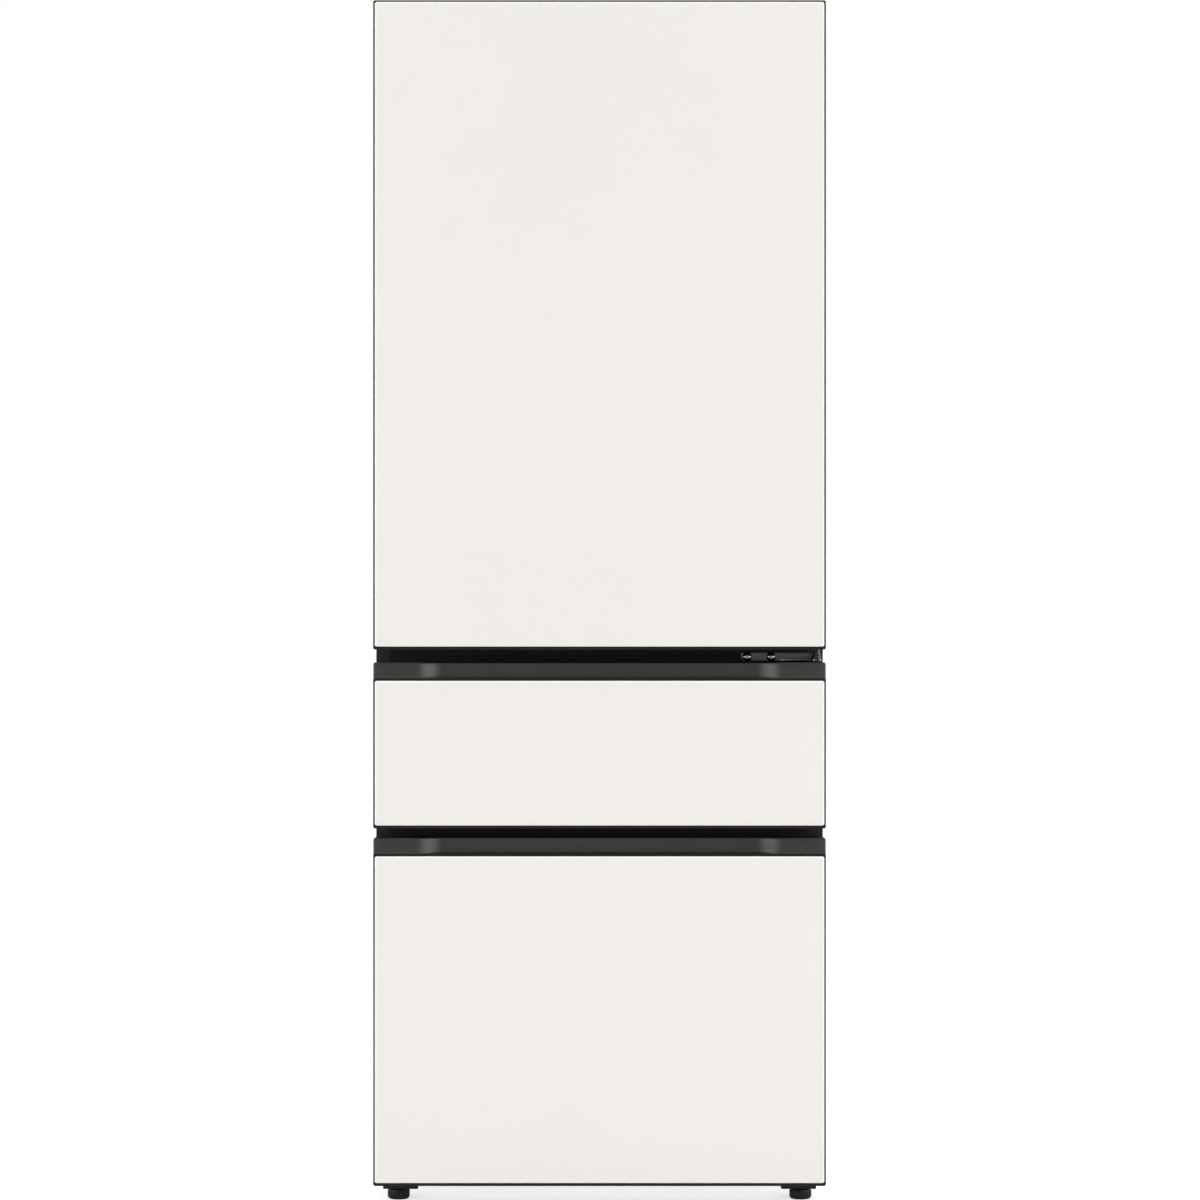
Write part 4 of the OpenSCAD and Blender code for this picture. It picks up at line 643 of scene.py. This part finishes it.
# ---- kimchi containers
# Tubs in a thick, slightly cloudy plastic with rounded corners, a rolled rim
# and shallow ribs. The lids have a sunken field, a clear seal and a folding
# clip at the front and the back.
tub_plastic = finish("tub_plastic", (202, 208, 212), (210, 215, 218), 0.32, relief=0.12,
                     grain=(420, 420, 420), transmission_weight=0.25, subsurface_weight=0.1)
lid_plastic = finish("lid_plastic", (232, 234, 235), (238, 240, 241), 0.34,
                     relief=0.1, edge_wear_and_highlight=(246, 247, 248))
seal_clear = finish("lid_seal", (206, 214, 218), (214, 221, 225), 0.4, relief=0.1)
tub_corner, lid_tall, tubs_apart = 0.022, 0.020, 0.010


def tub(bm, low, high):
    """A tub from its lowest to its highest corner, open at the top."""
    h = (high[2] - low[2]) * 1000
    skin(bm, stepped(low, high, low[2], (
        (12, 0.8), (8, 0), (5, 0.6), (3.6, 2.4), (3, 6), (3, h * 0.3), (3.6, h * 0.3 + 2),
        (3.6, h * 0.72), (3, h * 0.72 + 2), (3, h - 12), (3, h - 6.2), (0.4, h - 5), (0, h - 4),
        (0, h - 1), (0.6, h), (4.6, h), (5.5, h - 1.2), (5.6, 8), (7.2, 4), (11, 2.6),
        (20, 2.5)), tub_corner, 0.004))


def tub_lid(bm, seals, low, high):
    """A lid with its clips; its clear seal goes into seals."""
    h = (high[2] - low[2]) * 1000
    skin(bm, stepped(low, high, low[2], (
        (20, 13), (12.4, 12.8), (12, 11), (12, 0.6), (11.2, 0), (1, 0), (0, 1), (0, h - 3),
        (0.8, h - 1), (2.8, h), (14, h), (15.8, h - 0.8), (16.6, h - 3.6), (18.4, h - 4.2),
        (45, h - 4.2), (46.2, h - 3.6), (47.4, h - 3)), tub_corner, 0.005))
    skin(seals, stepped(low, high, low[2], (
        (5.8, 0.4), (5.8, -1.6), (6.6, -2.6), (9.2, -2.6), (10, -1.6), (10, 0.4)), tub_corner,
        0.004), joined=True)
    middle = (low[0] + high[0]) / 2
    half = min(0.045, (high[0] - low[0]) / 4)
    for y, way in ((low[1], -1), (high[1], 1)):
        skin(bm, [[(x, y + way * d / 1000, low[2] + up / 1000) for d, up in (
            (0, h - 3.4), (0, h - 6), (0, -8.8), (1, -9), (2, -8.8), (2.5, -7), (1.7, -5),
            (1.7, h - 8.5), (2.5, h - 6.5), (2.5, h - 4.4), (1.8, h - 3.4))]
            for x in (middle - half, middle + half)])


def containers(name, body, tub_node, lid_node, low, high, floors, tub_tall):
    """The tubs and lids that stand in pairs on these floors of one body."""
    tubs, lids, seals = bmesh.new(), bmesh.new(), bmesh.new()
    inner = tubs_apart / 2
    for z in floors:
        for x0, x1 in ((inner, high.x), (-high.x, -inner)):
            tub(tubs, (x0, low.y, z), (x1, high.y, z + tub_tall))
            tub_lid(lids, seals, (x0, low.y, z + tub_tall),
                    (x1, high.y, z + tub_tall + lid_tall))
    piece(name + "_tubs", tubs, body, tub_plastic, [tub_node], "tub_plastic", smooth=44)
    piece(name + "_lids", lids, body, lid_plastic, [lid_node], "lid_plastic", smooth=44)
    piece(name + "_lid_seals", seals, body, seal_clear, (), "lid_plastic", smooth=44)


containers("upper_room", "cabinet", "upper_tubs", "upper_lids", *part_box("upper_tubs"),
           (upper_floor, shelf_tops[0]), 0.165)

# ---- drawer rails
# Ball-bearing rails in three nested zinc-plated channels. The outer ones are
# screwed to the liner, and the inner ones carry the front and the box.
zinc = finish("zinc_steel", (168, 172, 176), (182, 185, 188), 0.3, metallic=0.9,
              grain=(60, 700, 700), relief=0.06, play=0.07, edge_wear_and_highlight=(200, 202, 204))
dressed("outer_rails", "fixed_rails", zinc, "zinc_steel", edge=0.0004)
for drawer in ("upper", "lower"):
    dressed(drawer + "_middle_rails", drawer + "_slides", zinc, "zinc_steel",
            drawer + "_slide_members", edge=0.0003)
    dressed(drawer + "_inner_rails", drawer + "_drawer_rails", zinc, "zinc_steel",
            drawer + "_drawer", edge=0.0003)

# ---- hinges and screws
# Plated steel plates with pressed pins, the middle pin in a black sleeve. Bolts
# with six-sided heads hold the top plate, domed bolts the middle one, and small
# cross-head screws the covers at the back.
hinge_steel = finish("hinge_steel", (150, 152, 155), (166, 168, 170), 0.27,
                     metallic=0.95, relief=0.08, play=0.06, edge_wear_and_highlight=(196, 197, 199))
dressed("top_hinge_plate", "top_hinge", hinge_steel, "zinc_steel", edge=0.0005, steps=3)
# Painted highlight: the edge shade lightens the middle plate's sharp edges into a bright
# outline.
hinge_grey = finish("middle_hinge_plating", (66, 66, 68), (74, 74, 76), 0.22,
                    metallic=0.9, relief=0.06, play=0.04, edge_wear_and_highlight=(190, 190, 192),
                    wear_and_highlight_from=0.55)
plate = dressed("middle_hinge_plate", "middle_hinge", hinge_grey, "zinc_steel", edge=0.0005,
                steps=3)
sleeve_black = finish("sleeve_plastic", (20, 20, 21), (26, 26, 27), 0.2, play=0.04,
                      relief=0.05, edge_wear_and_highlight=(60, 60, 61), specular_ior_level=0.35)
pin_x, pin_y, sleeve_r, sleeve_foot = 0.322, -0.338, 0.0062, 0.8075


def second_finish(made, material, chosen):
    """Gives the faces whose middle is chosen a second finish."""
    made.data.materials.append(material)
    for face in made.data.polygons:
        if chosen(*face.center):
            face.material_index = 1


second_finish(plate, sleeve_black, lambda x, y, z: (
    math.hypot(x - pin_x, y - pin_y) < sleeve_r and z > sleeve_foot))


def on_spots(add, link, given, copies):
    """The points of the modifier's own mesh, with the copies turned one way."""
    turn = add("FunctionNodeEulerToRotation")
    link(given["Turn"], turn.inputs["Euler"])
    link(given["Geometry"], copies["Points"])
    link(turn.outputs["Rotation"], copies["Rotation"])


fasteners_on_spots = copies_tree("fasteners_on_spots", (
    ("Geometry", "Geometry"), ("Turn", "Vector")), on_spots)
quarter = math.pi / 2
shank = [(0, -13), (2.6, -13), (3, -12), (3, 0)]
hex_bolt, cross_head, domed_bolt = bmesh.new(), bmesh.new(), bmesh.new()
turned(hex_bolt, shank + [(6.5, 0), (6.5, 0.8), (6.2, 1), (5.4, 1), (0, 1)], 24)
turned(hex_bolt, [(0, 0.9), (5.2, 0.9), (5.5, 1.2), (5.5, 4.2), (4.6, 5), (0, 5)], 6)
turned(cross_head, [(0, -7.8), (1.8, -7.8), (2, -7), (2, 0), (4, 0), (4, 0.6), (3.4, 1.7),
                    (2.2, 2.4), (0, 2.5)], 24)
turned(domed_bolt, shank + [(6.8, 0), (7.2, 0.6), (7, 1.4), (6.4, 2.5), (5.4, 3.6), (4.2, 4.4),
                            (3.1, 4.9), (2.8, 4.7), (2.7, 2.2), (0, 1.8)], 32)
bm = bmesh.new()
grown(bm, fasteners_on_spots, hex_bolt, hinge_steel, [{"Turn": (0, 0, 0.2)}],
      [(0.240, -0.272, 1.772), (0.280, -0.272, 1.772), (0.260, -0.232, 1.772)])
grown(bm, fasteners_on_spots, cross_head, hinge_steel, [{"Turn": (-quarter, 0, 0)}],
      [(x, y, z) for side, y, heights in ((0.323, 0.3635, (0.038, 0.242)),
                                          (0.116, 0.3623, (1.392, 1.564)))
       for x in (-side, side) for z in heights])
piece("bolts_and_screws", bm, "cabinet", hinge_steel, ["screws"], "zinc_steel", edge=0.0002,
      smooth=30)
# Painted highlight: the edge shade lightens the domed bolts' rims into bright glints.
bolt_black = finish("black_zinc_bolts", (126, 126, 129), (136, 136, 139), 0.10,
                    metallic=1.0, play=0.03, relief=0.05, edge_wear_and_highlight=(205, 205, 208),
                    wear_and_highlight_from=0.58)
bm = bmesh.new()
grown(bm, fasteners_on_spots, domed_bolt, bolt_black, [{"Turn": (quarter, 0, 0)}],
      [(x, -0.303, 0.809) for x in (0.220, 0.256)])
piece("middle_hinge_bolts", bm, "cabinet", bolt_black, (), "zinc_steel", smooth=40)

# ---- top hinge's cap
# A soft-edged plastic cap snaps over the hinge plate and its wiring, with an
# opening at the front for the arm.
cap_dark = finish("cap_plastic", (62, 62, 64), (70, 70, 72), 0.5, relief=0.3,
                  depth=0.00006, edge_wear_and_highlight=(96, 96, 98))
dressed("hinge_cap", "top_hinge_cover", cap_dark, "cap_plastic", edge=0.0016, steps=4)

# ---- front panels
# The door and both drawers carry a satin, warm white metal panel in a dark
# frame of which only a thin edge shows. The panel's rim has a fine radius. A
# narrow strip of its front along the top and side edges is a painted highlight
# in near white, as if lit from above and the sides; the bottom edge has none.
front_white = finish("front_white", (240, 237, 232), (242, 239, 234), 0.42, drift=1.6,
                     grain=(380, 380, 380), relief=0.05, depth=0.00004, play=0.03,
                     coat_weight=0.08, coat_roughness=0.3)
# Painted highlight: a near-white finish for the narrow strip along the panels' top and side
# edges.
painted_edge_highlight = finish("painted_edge_highlight", (253, 253, 252), (255, 255, 254), 0.3, drift=1.6,
                    relief=0.03, depth=0.00003, play=0.03)
fronts = ("door", "upper_drawer", "lower_drawer")
highlight_line_wide, panel_corner = 0.0024, 0.003
for front in fronts:
    low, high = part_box(front + "_panel")
    bm = bmesh.new()
    skin(bm, stepped(low.xz, high.xz, low.y, (
        (highlight_line_wide * 1000, 0), (0, 0), (0, (high.y - low.y) * 1000)), panel_corner, facing=True,
        n=8))
    panel = piece(front + "_white_panel", bm, front, front_white, [front + "_panel"],
                  "front_white", edge=0.0008, steps=3)
    # The painted highlight goes on the front faces within the strip at the top and the sides,
    # not along the bottom.
    second_finish(panel, painted_edge_highlight, lambda x, y, z: y < low.y + 1e-5 and (
        abs(x) > high.x - highlight_line_wide or z > high.z - highlight_line_wide))

# ---- front frames
# Charcoal frames with foam inside: moulded caps at the top and bottom, joined
# to extruded sides. The drawers' frames have a finger pocket behind the grip,
# and the door's has a grip groove underneath and bushes for its hinge pins.
frame_plastic = finish("frame_plastic", (23, 23, 24), (28, 28, 29), 0.46, relief=0.2,
                       depth=0.00005, grain=(600, 600, 600), edge_wear_and_highlight=(38, 38, 38),
                       specular_ior_level=0.14)
joint_shadow = finish("joint_shadow", (14, 14, 14), (18, 18, 18), 0.8)
cap_tall, grip_cap_tall = 0.026, 0.034
joint_deep, joint_half = 0.00002, 0.0003
for front in fronts:
    low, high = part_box(front + "_frame")
    dressed(front + "_charcoal_frame", front + "_frame", frame_plastic, "frame_plastic",
            front, edge=0.0003, smooth=30)
    bm = bmesh.new()
    for x in (low.x, high.x):
        for z in (low.z + cap_tall, high.z - (cap_tall if front == "door" else grip_cap_tall)):
            block(bm, (x - joint_deep, low.y + 0.006, z - joint_half),
                  (x + joint_deep, high.y - 0.002, z + joint_half))
    piece(front + "_frame_joints", bm, front, joint_shadow, (), "frame_plastic")

# ---- drawer handles
# A strip of dark brushed aluminium along the top of each drawer front. It
# sweeps back in a long scoop for the fingers, and its top edge is rounded.
# Its sharp edges, the rounded top edge most, carry a painted highlight line.
# Painted highlight: the edge shade lightens the strip's sharp edges into a thin bright line.
handle_metal = finish("handle_metal", (57, 56, 54), (61, 60, 58), 0.43, drift=3.0,
                      grain=(14, 900, 900), relief=0.10, depth=0.00003, play=0.05,
                      metallic=1.0, edge_wear_and_highlight=(92, 91, 88), wear_and_highlight_from=0.62)
grip_from, sweep, scoop, end_r = 0.058, 0.046, 0.018, 0.0012
for front in fronts[1:]:
    low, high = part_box(front + "_handle")
    half, top = high.x, (high.z - low.z) * 1000
    full = grip_from + sweep
    stations = [-half, -half + 0.0004, -half + end_r, -half + 0.03]
    stations += [-half + grip_from + sweep * i / 22 for i in range(23)]
    stations += [-half + full + (half - full) * i / 4 for i in range(1, 4)]
    stations = stations + [0.0] + [-x for x in reversed(stations)]
    rows = []
    for x in stations:
        t = max(0.0, min(1.0, (half - grip_from - abs(x)) / sweep))
        y = low.y + scoop * t * t * (3 - 2 * t)
        pull = 0.0008 * ((end_r - min(end_r, half - abs(x))) / end_r) ** 2
        flare = 2.4 * t
        outline = ((0.9 - flare, 0.1), (0.3 - flare, 0.4), (0.4 - flare, 0.9),
                   (0.1 - flare * 0.45, 1.8), (-flare * 0.1, 3.2), (0, 6), (0.1, top - 6),
                   (0.4, top - 2.2), (0.8, top - 1), (1.4, top - 0.3), (2.1, top),
                   (2.6, top - 0.3), (2.9, top - 1), (3, top - 2), (3, 0.8), (2.8, 0.2),
                   (2.4, 0))
        rows.append([(x, y + d / 1000 * (1 - pull * 250) + pull, low.z + up / 1000)
                     for d, up in outline])
    bm = bmesh.new()
    skin(bm, rows)
    piece(front + "_metal_handle", bm, front, handle_metal, [front + "_handle"],
          "handle_metal", smooth=50)

# ---- gaskets
# Grey magnetic gaskets, extruded and welded at their corners: a foot pushed
# into a groove, a folding bellows, and a head that holds the magnet strip.
gasket_grey = finish("gasket_grey", (150, 151, 153), (160, 161, 163), 0.55, relief=0.2,
                     depth=0.00005)
for front in fronts:
    low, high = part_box(front + "_gasket")
    bm = bmesh.new()
    skin(bm, stepped(low.xz, high.xz, low.y, (
        (0.6, 0), (0, 0.8), (0, 2.2), (0.6, 3), (2.4, 3.4), (3.4, 4.4), (2.4, 5.6), (3.4, 6.8),
        (2.2, 7.8), (0.8, 8.2), (0, 9), (0, 10.8), (0.8, 11.7), (4, 11.5), (8, 11.7),
        (11.2, 11.7), (12, 10.8), (12, 9), (11.2, 8.2), (9.6, 7.8), (8.4, 6.8), (9.4, 5.6),
        (8.4, 4.4), (9.6, 3.4), (11.4, 3), (12, 2.2), (12, 0.8), (11.4, 0)), 0.004, 0.001,
        True, 3), joined=True)
    piece(front + "_magnetic_gasket", bm, front, gasket_grey, [front + "_gasket"],
          "gasket_grey", smooth=50)

# ---- inner front liners
# White formed sheets close the backs of the fronts inside the gaskets. The
# door's has a raised frame with ledges for the bins; the drawers' have a pad
# with softly rounded edges and two shallow grooves.
sheet_thick, sheet_corner = 0.003, 0.006
bin_floors = (0.9133, 1.1783, 1.4433)
pad_x = 0.246


def sheet(low, high):
    """The flat sheet that a front's inner liner starts from."""
    bm = bmesh.new()
    skin(bm, stepped(low.xz, high.xz, low.y, ((0, 0), (0, sheet_thick * 1000)), sheet_corner,
                     facing=True))
    return bm


low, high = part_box("door_liner")
back = low.y + sheet_thick
rise = (high.y - back) * 1000
bm = sheet(low, high)
skin(bm, stepped((-0.262, 0.8813), (0.262, 1.686), back, (
    (0, -0.4), (0, 1), (0.6, rise - 6), (2.2, rise - 2), (5, rise), (7, rise), (9.8, rise - 2),
    (11.4, rise - 6), (12, 1), (12, -0.4)), 0.016, 0.004, True), joined=True)
ledges(bm, 0.246, 0.2515, back - 0.0002, high.y - 0.006, bin_floors, 0.007)
piece("door_inner_liner", bm, "door", liner_white, ["door_liner"], "liner_plastic",
      edge=0.0008, steps=3, smooth=40)
for front in fronts[1:]:
    low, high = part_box(front + "_liner")
    bm = sheet(low, high)
    skin(bm, stepped((-pad_x, low.z + 0.020), (pad_x, high.z - 0.036), low.y, (
        (0, 2.6), (0, 9.5), (0.8, 12.2), (2.6, 13.6), (5, 14), (18, 14), (19.2, 13.2),
        (20.4, 12.8), (21.6, 13.2), (22.8, 14), (26, 14), (27.2, 13.2), (28.4, 12.8),
        (29.6, 13.2), (30.8, 14)), 0.018, 0.003, True))
    piece(front + "_inner_liner", bm, front, liner_white, [front + "_liner"], "liner_plastic",
          smooth=40)

# ---- door bins
# Clear moulded bins with a rounded rim, a rail along the front and a ribbed
# floor. They stand on the ledges of the door's liner.
clear_plastic = finish("clear_plastic", (243, 247, 248), (247, 250, 251), 0.10, play=0.03,
                       relief=0.03, transmission_weight=0.88, ior=1.49)
low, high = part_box("door_bins")
bm, bin_rails, tall = bmesh.new(), bmesh.new(), 105
for z in bin_floors:
    skin(bm, stepped(low.xy, high.xy, z, (
        (3, 0), (0.8, 0.8), (0.1, 3), (0, 30), (0, tall - 4), (0, tall - 1), (0.8, tall),
        (2.2, tall), (3, tall - 1), (2.6, tall - 6), (2.6, 5), (3.4, 3.2), (6, 2.5)), 0.010,
        0.002))
    rib, ribs, rib_step = bmesh.new(), 23, 0.020
    block(rib, (-0.0008, -0.3050, 0.0), (0.0008, -0.2200, 0.0012))
    in_even_rows(bm, rib, clear_plastic, [(-rib_step * (ribs - 1) / 2, 0, z + 0.0022)],
                 across=ribs, step=rib_step)
    block(bin_rails, (low.x + 0.012, high.y - 0.0022, z + 0.086),
          (high.x - 0.012, high.y - 0.0001, z + 0.099))
piece("clear_door_bins", bm, "door", clear_plastic, ["door_bins"], "clear_plastic", smooth=44)
piece("door_bin_rails", bin_rails, "door", trim_silver, (), "trim_plastic", edge=0.0006)

# ---- drawer boxes
# Deep white moulded boxes with a rolled rim. The upper one rests on the rail
# ledges by its floor, and the lower one hangs in them by its stepped sides.
box_white = finish("box_plastic", (226, 228, 229), (232, 234, 235), 0.4, relief=0.14,
                   grain=(460, 460, 460), depth=0.00005)


def drawer_box(drawer, low, high, sides):
    """A box from the half width, inset and height of each loop, with its rolled rim."""
    corner, least = 0.008, 0.002
    bm, walls = bmesh.new(), []
    for half, inset, up in sides:
        walls += stepped((-half / 1000, low.y), (half / 1000, high.y), low.z,
                         [(inset, up)], corner, least)
    skin(bm, walls)
    skin(bm, stepped(low.xy, high.xy, high.z, (
        (0, -6), (0, -1), (1, 0), (4.2, 0), (5.2, -1), (5.2, -3), (2.4, -3.4), (2.4, -6)),
        corner, 0.003), joined=True)
    piece(drawer + "_moulded_box", bm, drawer, box_white, [drawer + "_box"],
          "liner_plastic", smooth=44)


low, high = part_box("upper_drawer_box")
tall, wide = (high.z - low.z) * 1000, high.x * 1000
drawer_box("upper_drawer", low, high, [(wide, inset, up) for inset, up in (
    (4, 0), (1.2, 0.8), (0, 4), (0, 20), (0.4, 22), (0.4, tall - 12), (0, tall - 10),
    (0, tall - 1.2), (1.2, tall - 0.2), (2.2, tall - 1), (2.5, 6), (4, 3.2), (7, 2.5))])
low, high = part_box("lower_drawer_box")
tall, wide = (high.z - low.z) * 1000, high.x * 1000
deep, step = 247.1, 307.3 - low.z * 1000
drawer_box("lower_drawer", low, high, (
    (deep, 4, 0), (deep, 1.2, 0.8), (deep, 0, 4), (deep, 0, step - 0.6), (deep + 0.6, 0, step),
    (wide - 0.8, 0, step), (wide, 0, step + 1), (wide, 0, tall - 1.2), (wide, 1.2, tall - 0.2),
    (wide, 2.2, tall - 1), (wide, 2.5, step + 4), (wide - 1, 2.5, step + 2.6),
    (deep + 1, 2.5, step + 2.5), (deep, 2.5, step + 1.2), (deep, 2.5, 6), (deep, 4, 3.2),
    (deep, 7, 2.5)))
for drawer in fronts[1:]:
    low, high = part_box(drawer + "_tubs")
    containers(drawer, drawer, drawer + "_tubs", drawer + "_lids", low, high, (low.z,),
               high.z - low.z)

# ---- floor and backdrop
# A plain pale studio floor that runs out to white. It gives back the light
# under the cabinet and keeps its shadow.


def chosen_by_ray(tree, hidden, shown, out):
    """Shows one shader to rays from the camera, a gloss or clear matter, and the
    other to scattered light."""
    add, link = tree.nodes.new, tree.links.new
    path, chosen = add("ShaderNodeLightPath"), add("ShaderNodeMixShader")
    seen = path.outputs["Is Camera Ray"]
    for kind in ("Is Glossy Ray", "Is Transmission Ray"):
        either = add("ShaderNodeMath")
        either.operation = "MAXIMUM"
        link(seen, either.inputs[0])
        link(path.outputs[kind], either.inputs[1])
        seen = either.outputs[0]
    link(seen, chosen.inputs["Fac"])
    link(hidden.outputs[0], chosen.inputs[1])
    link(shown.outputs[0], chosen.inputs[2])
    link(chosen.outputs[0], add(out).inputs["Surface"])


def plain(tree, kind, level=1, strength=None):
    """A grey shader of one of the simple kinds."""
    node = tree.nodes.new(kind)
    node.inputs["Color"].default_value = (level, level, level, 1)
    if strength:
        node.inputs["Strength"].default_value = strength
    return node


bm = bmesh.new()
reach, floor_grey, floor_glow = 14.0, 0.80, 0.67
skin(bm, [[(-reach, -reach, 0), (reach, -reach, 0), (reach, reach, 0), (-reach, reach, 0)]],
     ends=(False, True))
studio_floor = placed("studio_floor", meshed("studio_floor", bm))
pale = bpy.data.materials.new("pale_floor")
pale.use_nodes = True
tree = pale.node_tree
tree.nodes.clear()
matt = plain(tree, "ShaderNodeBsdfDiffuse", floor_grey)
glow = plain(tree, "ShaderNodeEmission", strength=floor_glow)
total = tree.nodes.new("ShaderNodeAddShader")
tree.links.new(matt.outputs[0], total.inputs[0])
tree.links.new(glow.outputs[0], total.inputs[1])
chosen_by_ray(tree, matt, total, "ShaderNodeOutputMaterial")
studio_floor.data.materials.append(pale)

# ---- studio light
# An even white surround, with a large soft box well out to each side, so that
# the scooped handles show bright bands. One overhead and one behind each side
# of the cabinet light its top, its flanks and the edges of the fronts.
surround = bpy.data.worlds.new("studio_surround")
bpy.context.scene.world = surround
surround.use_nodes = True
tree = surround.node_tree
tree.nodes.clear()
soft, bright = (plain(tree, "ShaderNodeBackground", strength=level) for level in (0.445, 1.0))
chosen_by_ray(tree, soft, bright, "ShaderNodeOutputWorld")


def soft_box(name, place, aim, wide, high, radiance):
    """A rectangular soft light of the given brightness, aimed at a point."""
    lamp = bpy.data.lights.new(name, "AREA")
    lamp.shape = "RECTANGLE"
    lamp.size, lamp.size_y = wide, high
    lamp.energy = radiance * math.pi * wide * high
    made = placed(name, lamp)
    made.location = place
    made.rotation_euler = (Vector(aim) - Vector(place)).to_track_quat("-Z", "Y").to_euler()


for side, way, radiance in (("left", -1, 8.4), ("right", 1, 8.8)):
    soft_box(side + "_soft_box", (way * 4.15, -2.5, 0.95), (0, -0.3, 0.85), 1.4, 2.8, radiance)
    soft_box(side + "_edge_light", (way * 4.2, 1.2, 1.4), (0, 0, 0.9), 2.6, 2.8, 1.95)
soft_box("overhead_soft_box", (0, -0.2, 4.2), (0, -0.1, 0.9), 2.6, 2.6, 3.2)

# ---- camera
# The picture is taken straight from the front with a long lens at half the
# cabinet's height.
picture_wide, to_fronts = 1.7651, 5.0
lens = bpy.data.cameras.new("front_camera")
lens.sensor_fit = "HORIZONTAL"
lens.sensor_width = 36.0
lens.lens = lens.sensor_width * to_fronts / picture_wide
lens.clip_start, lens.clip_end = 0.1, 100.0
camera = placed("front_camera", lens)
camera.location = (0.0007, -5.370, 0.8937)
camera.rotation_euler = (math.pi / 2, 0, 0)
bpy.context.scene.camera = camera
bpy.context.scene.view_settings.view_transform = "Standard"
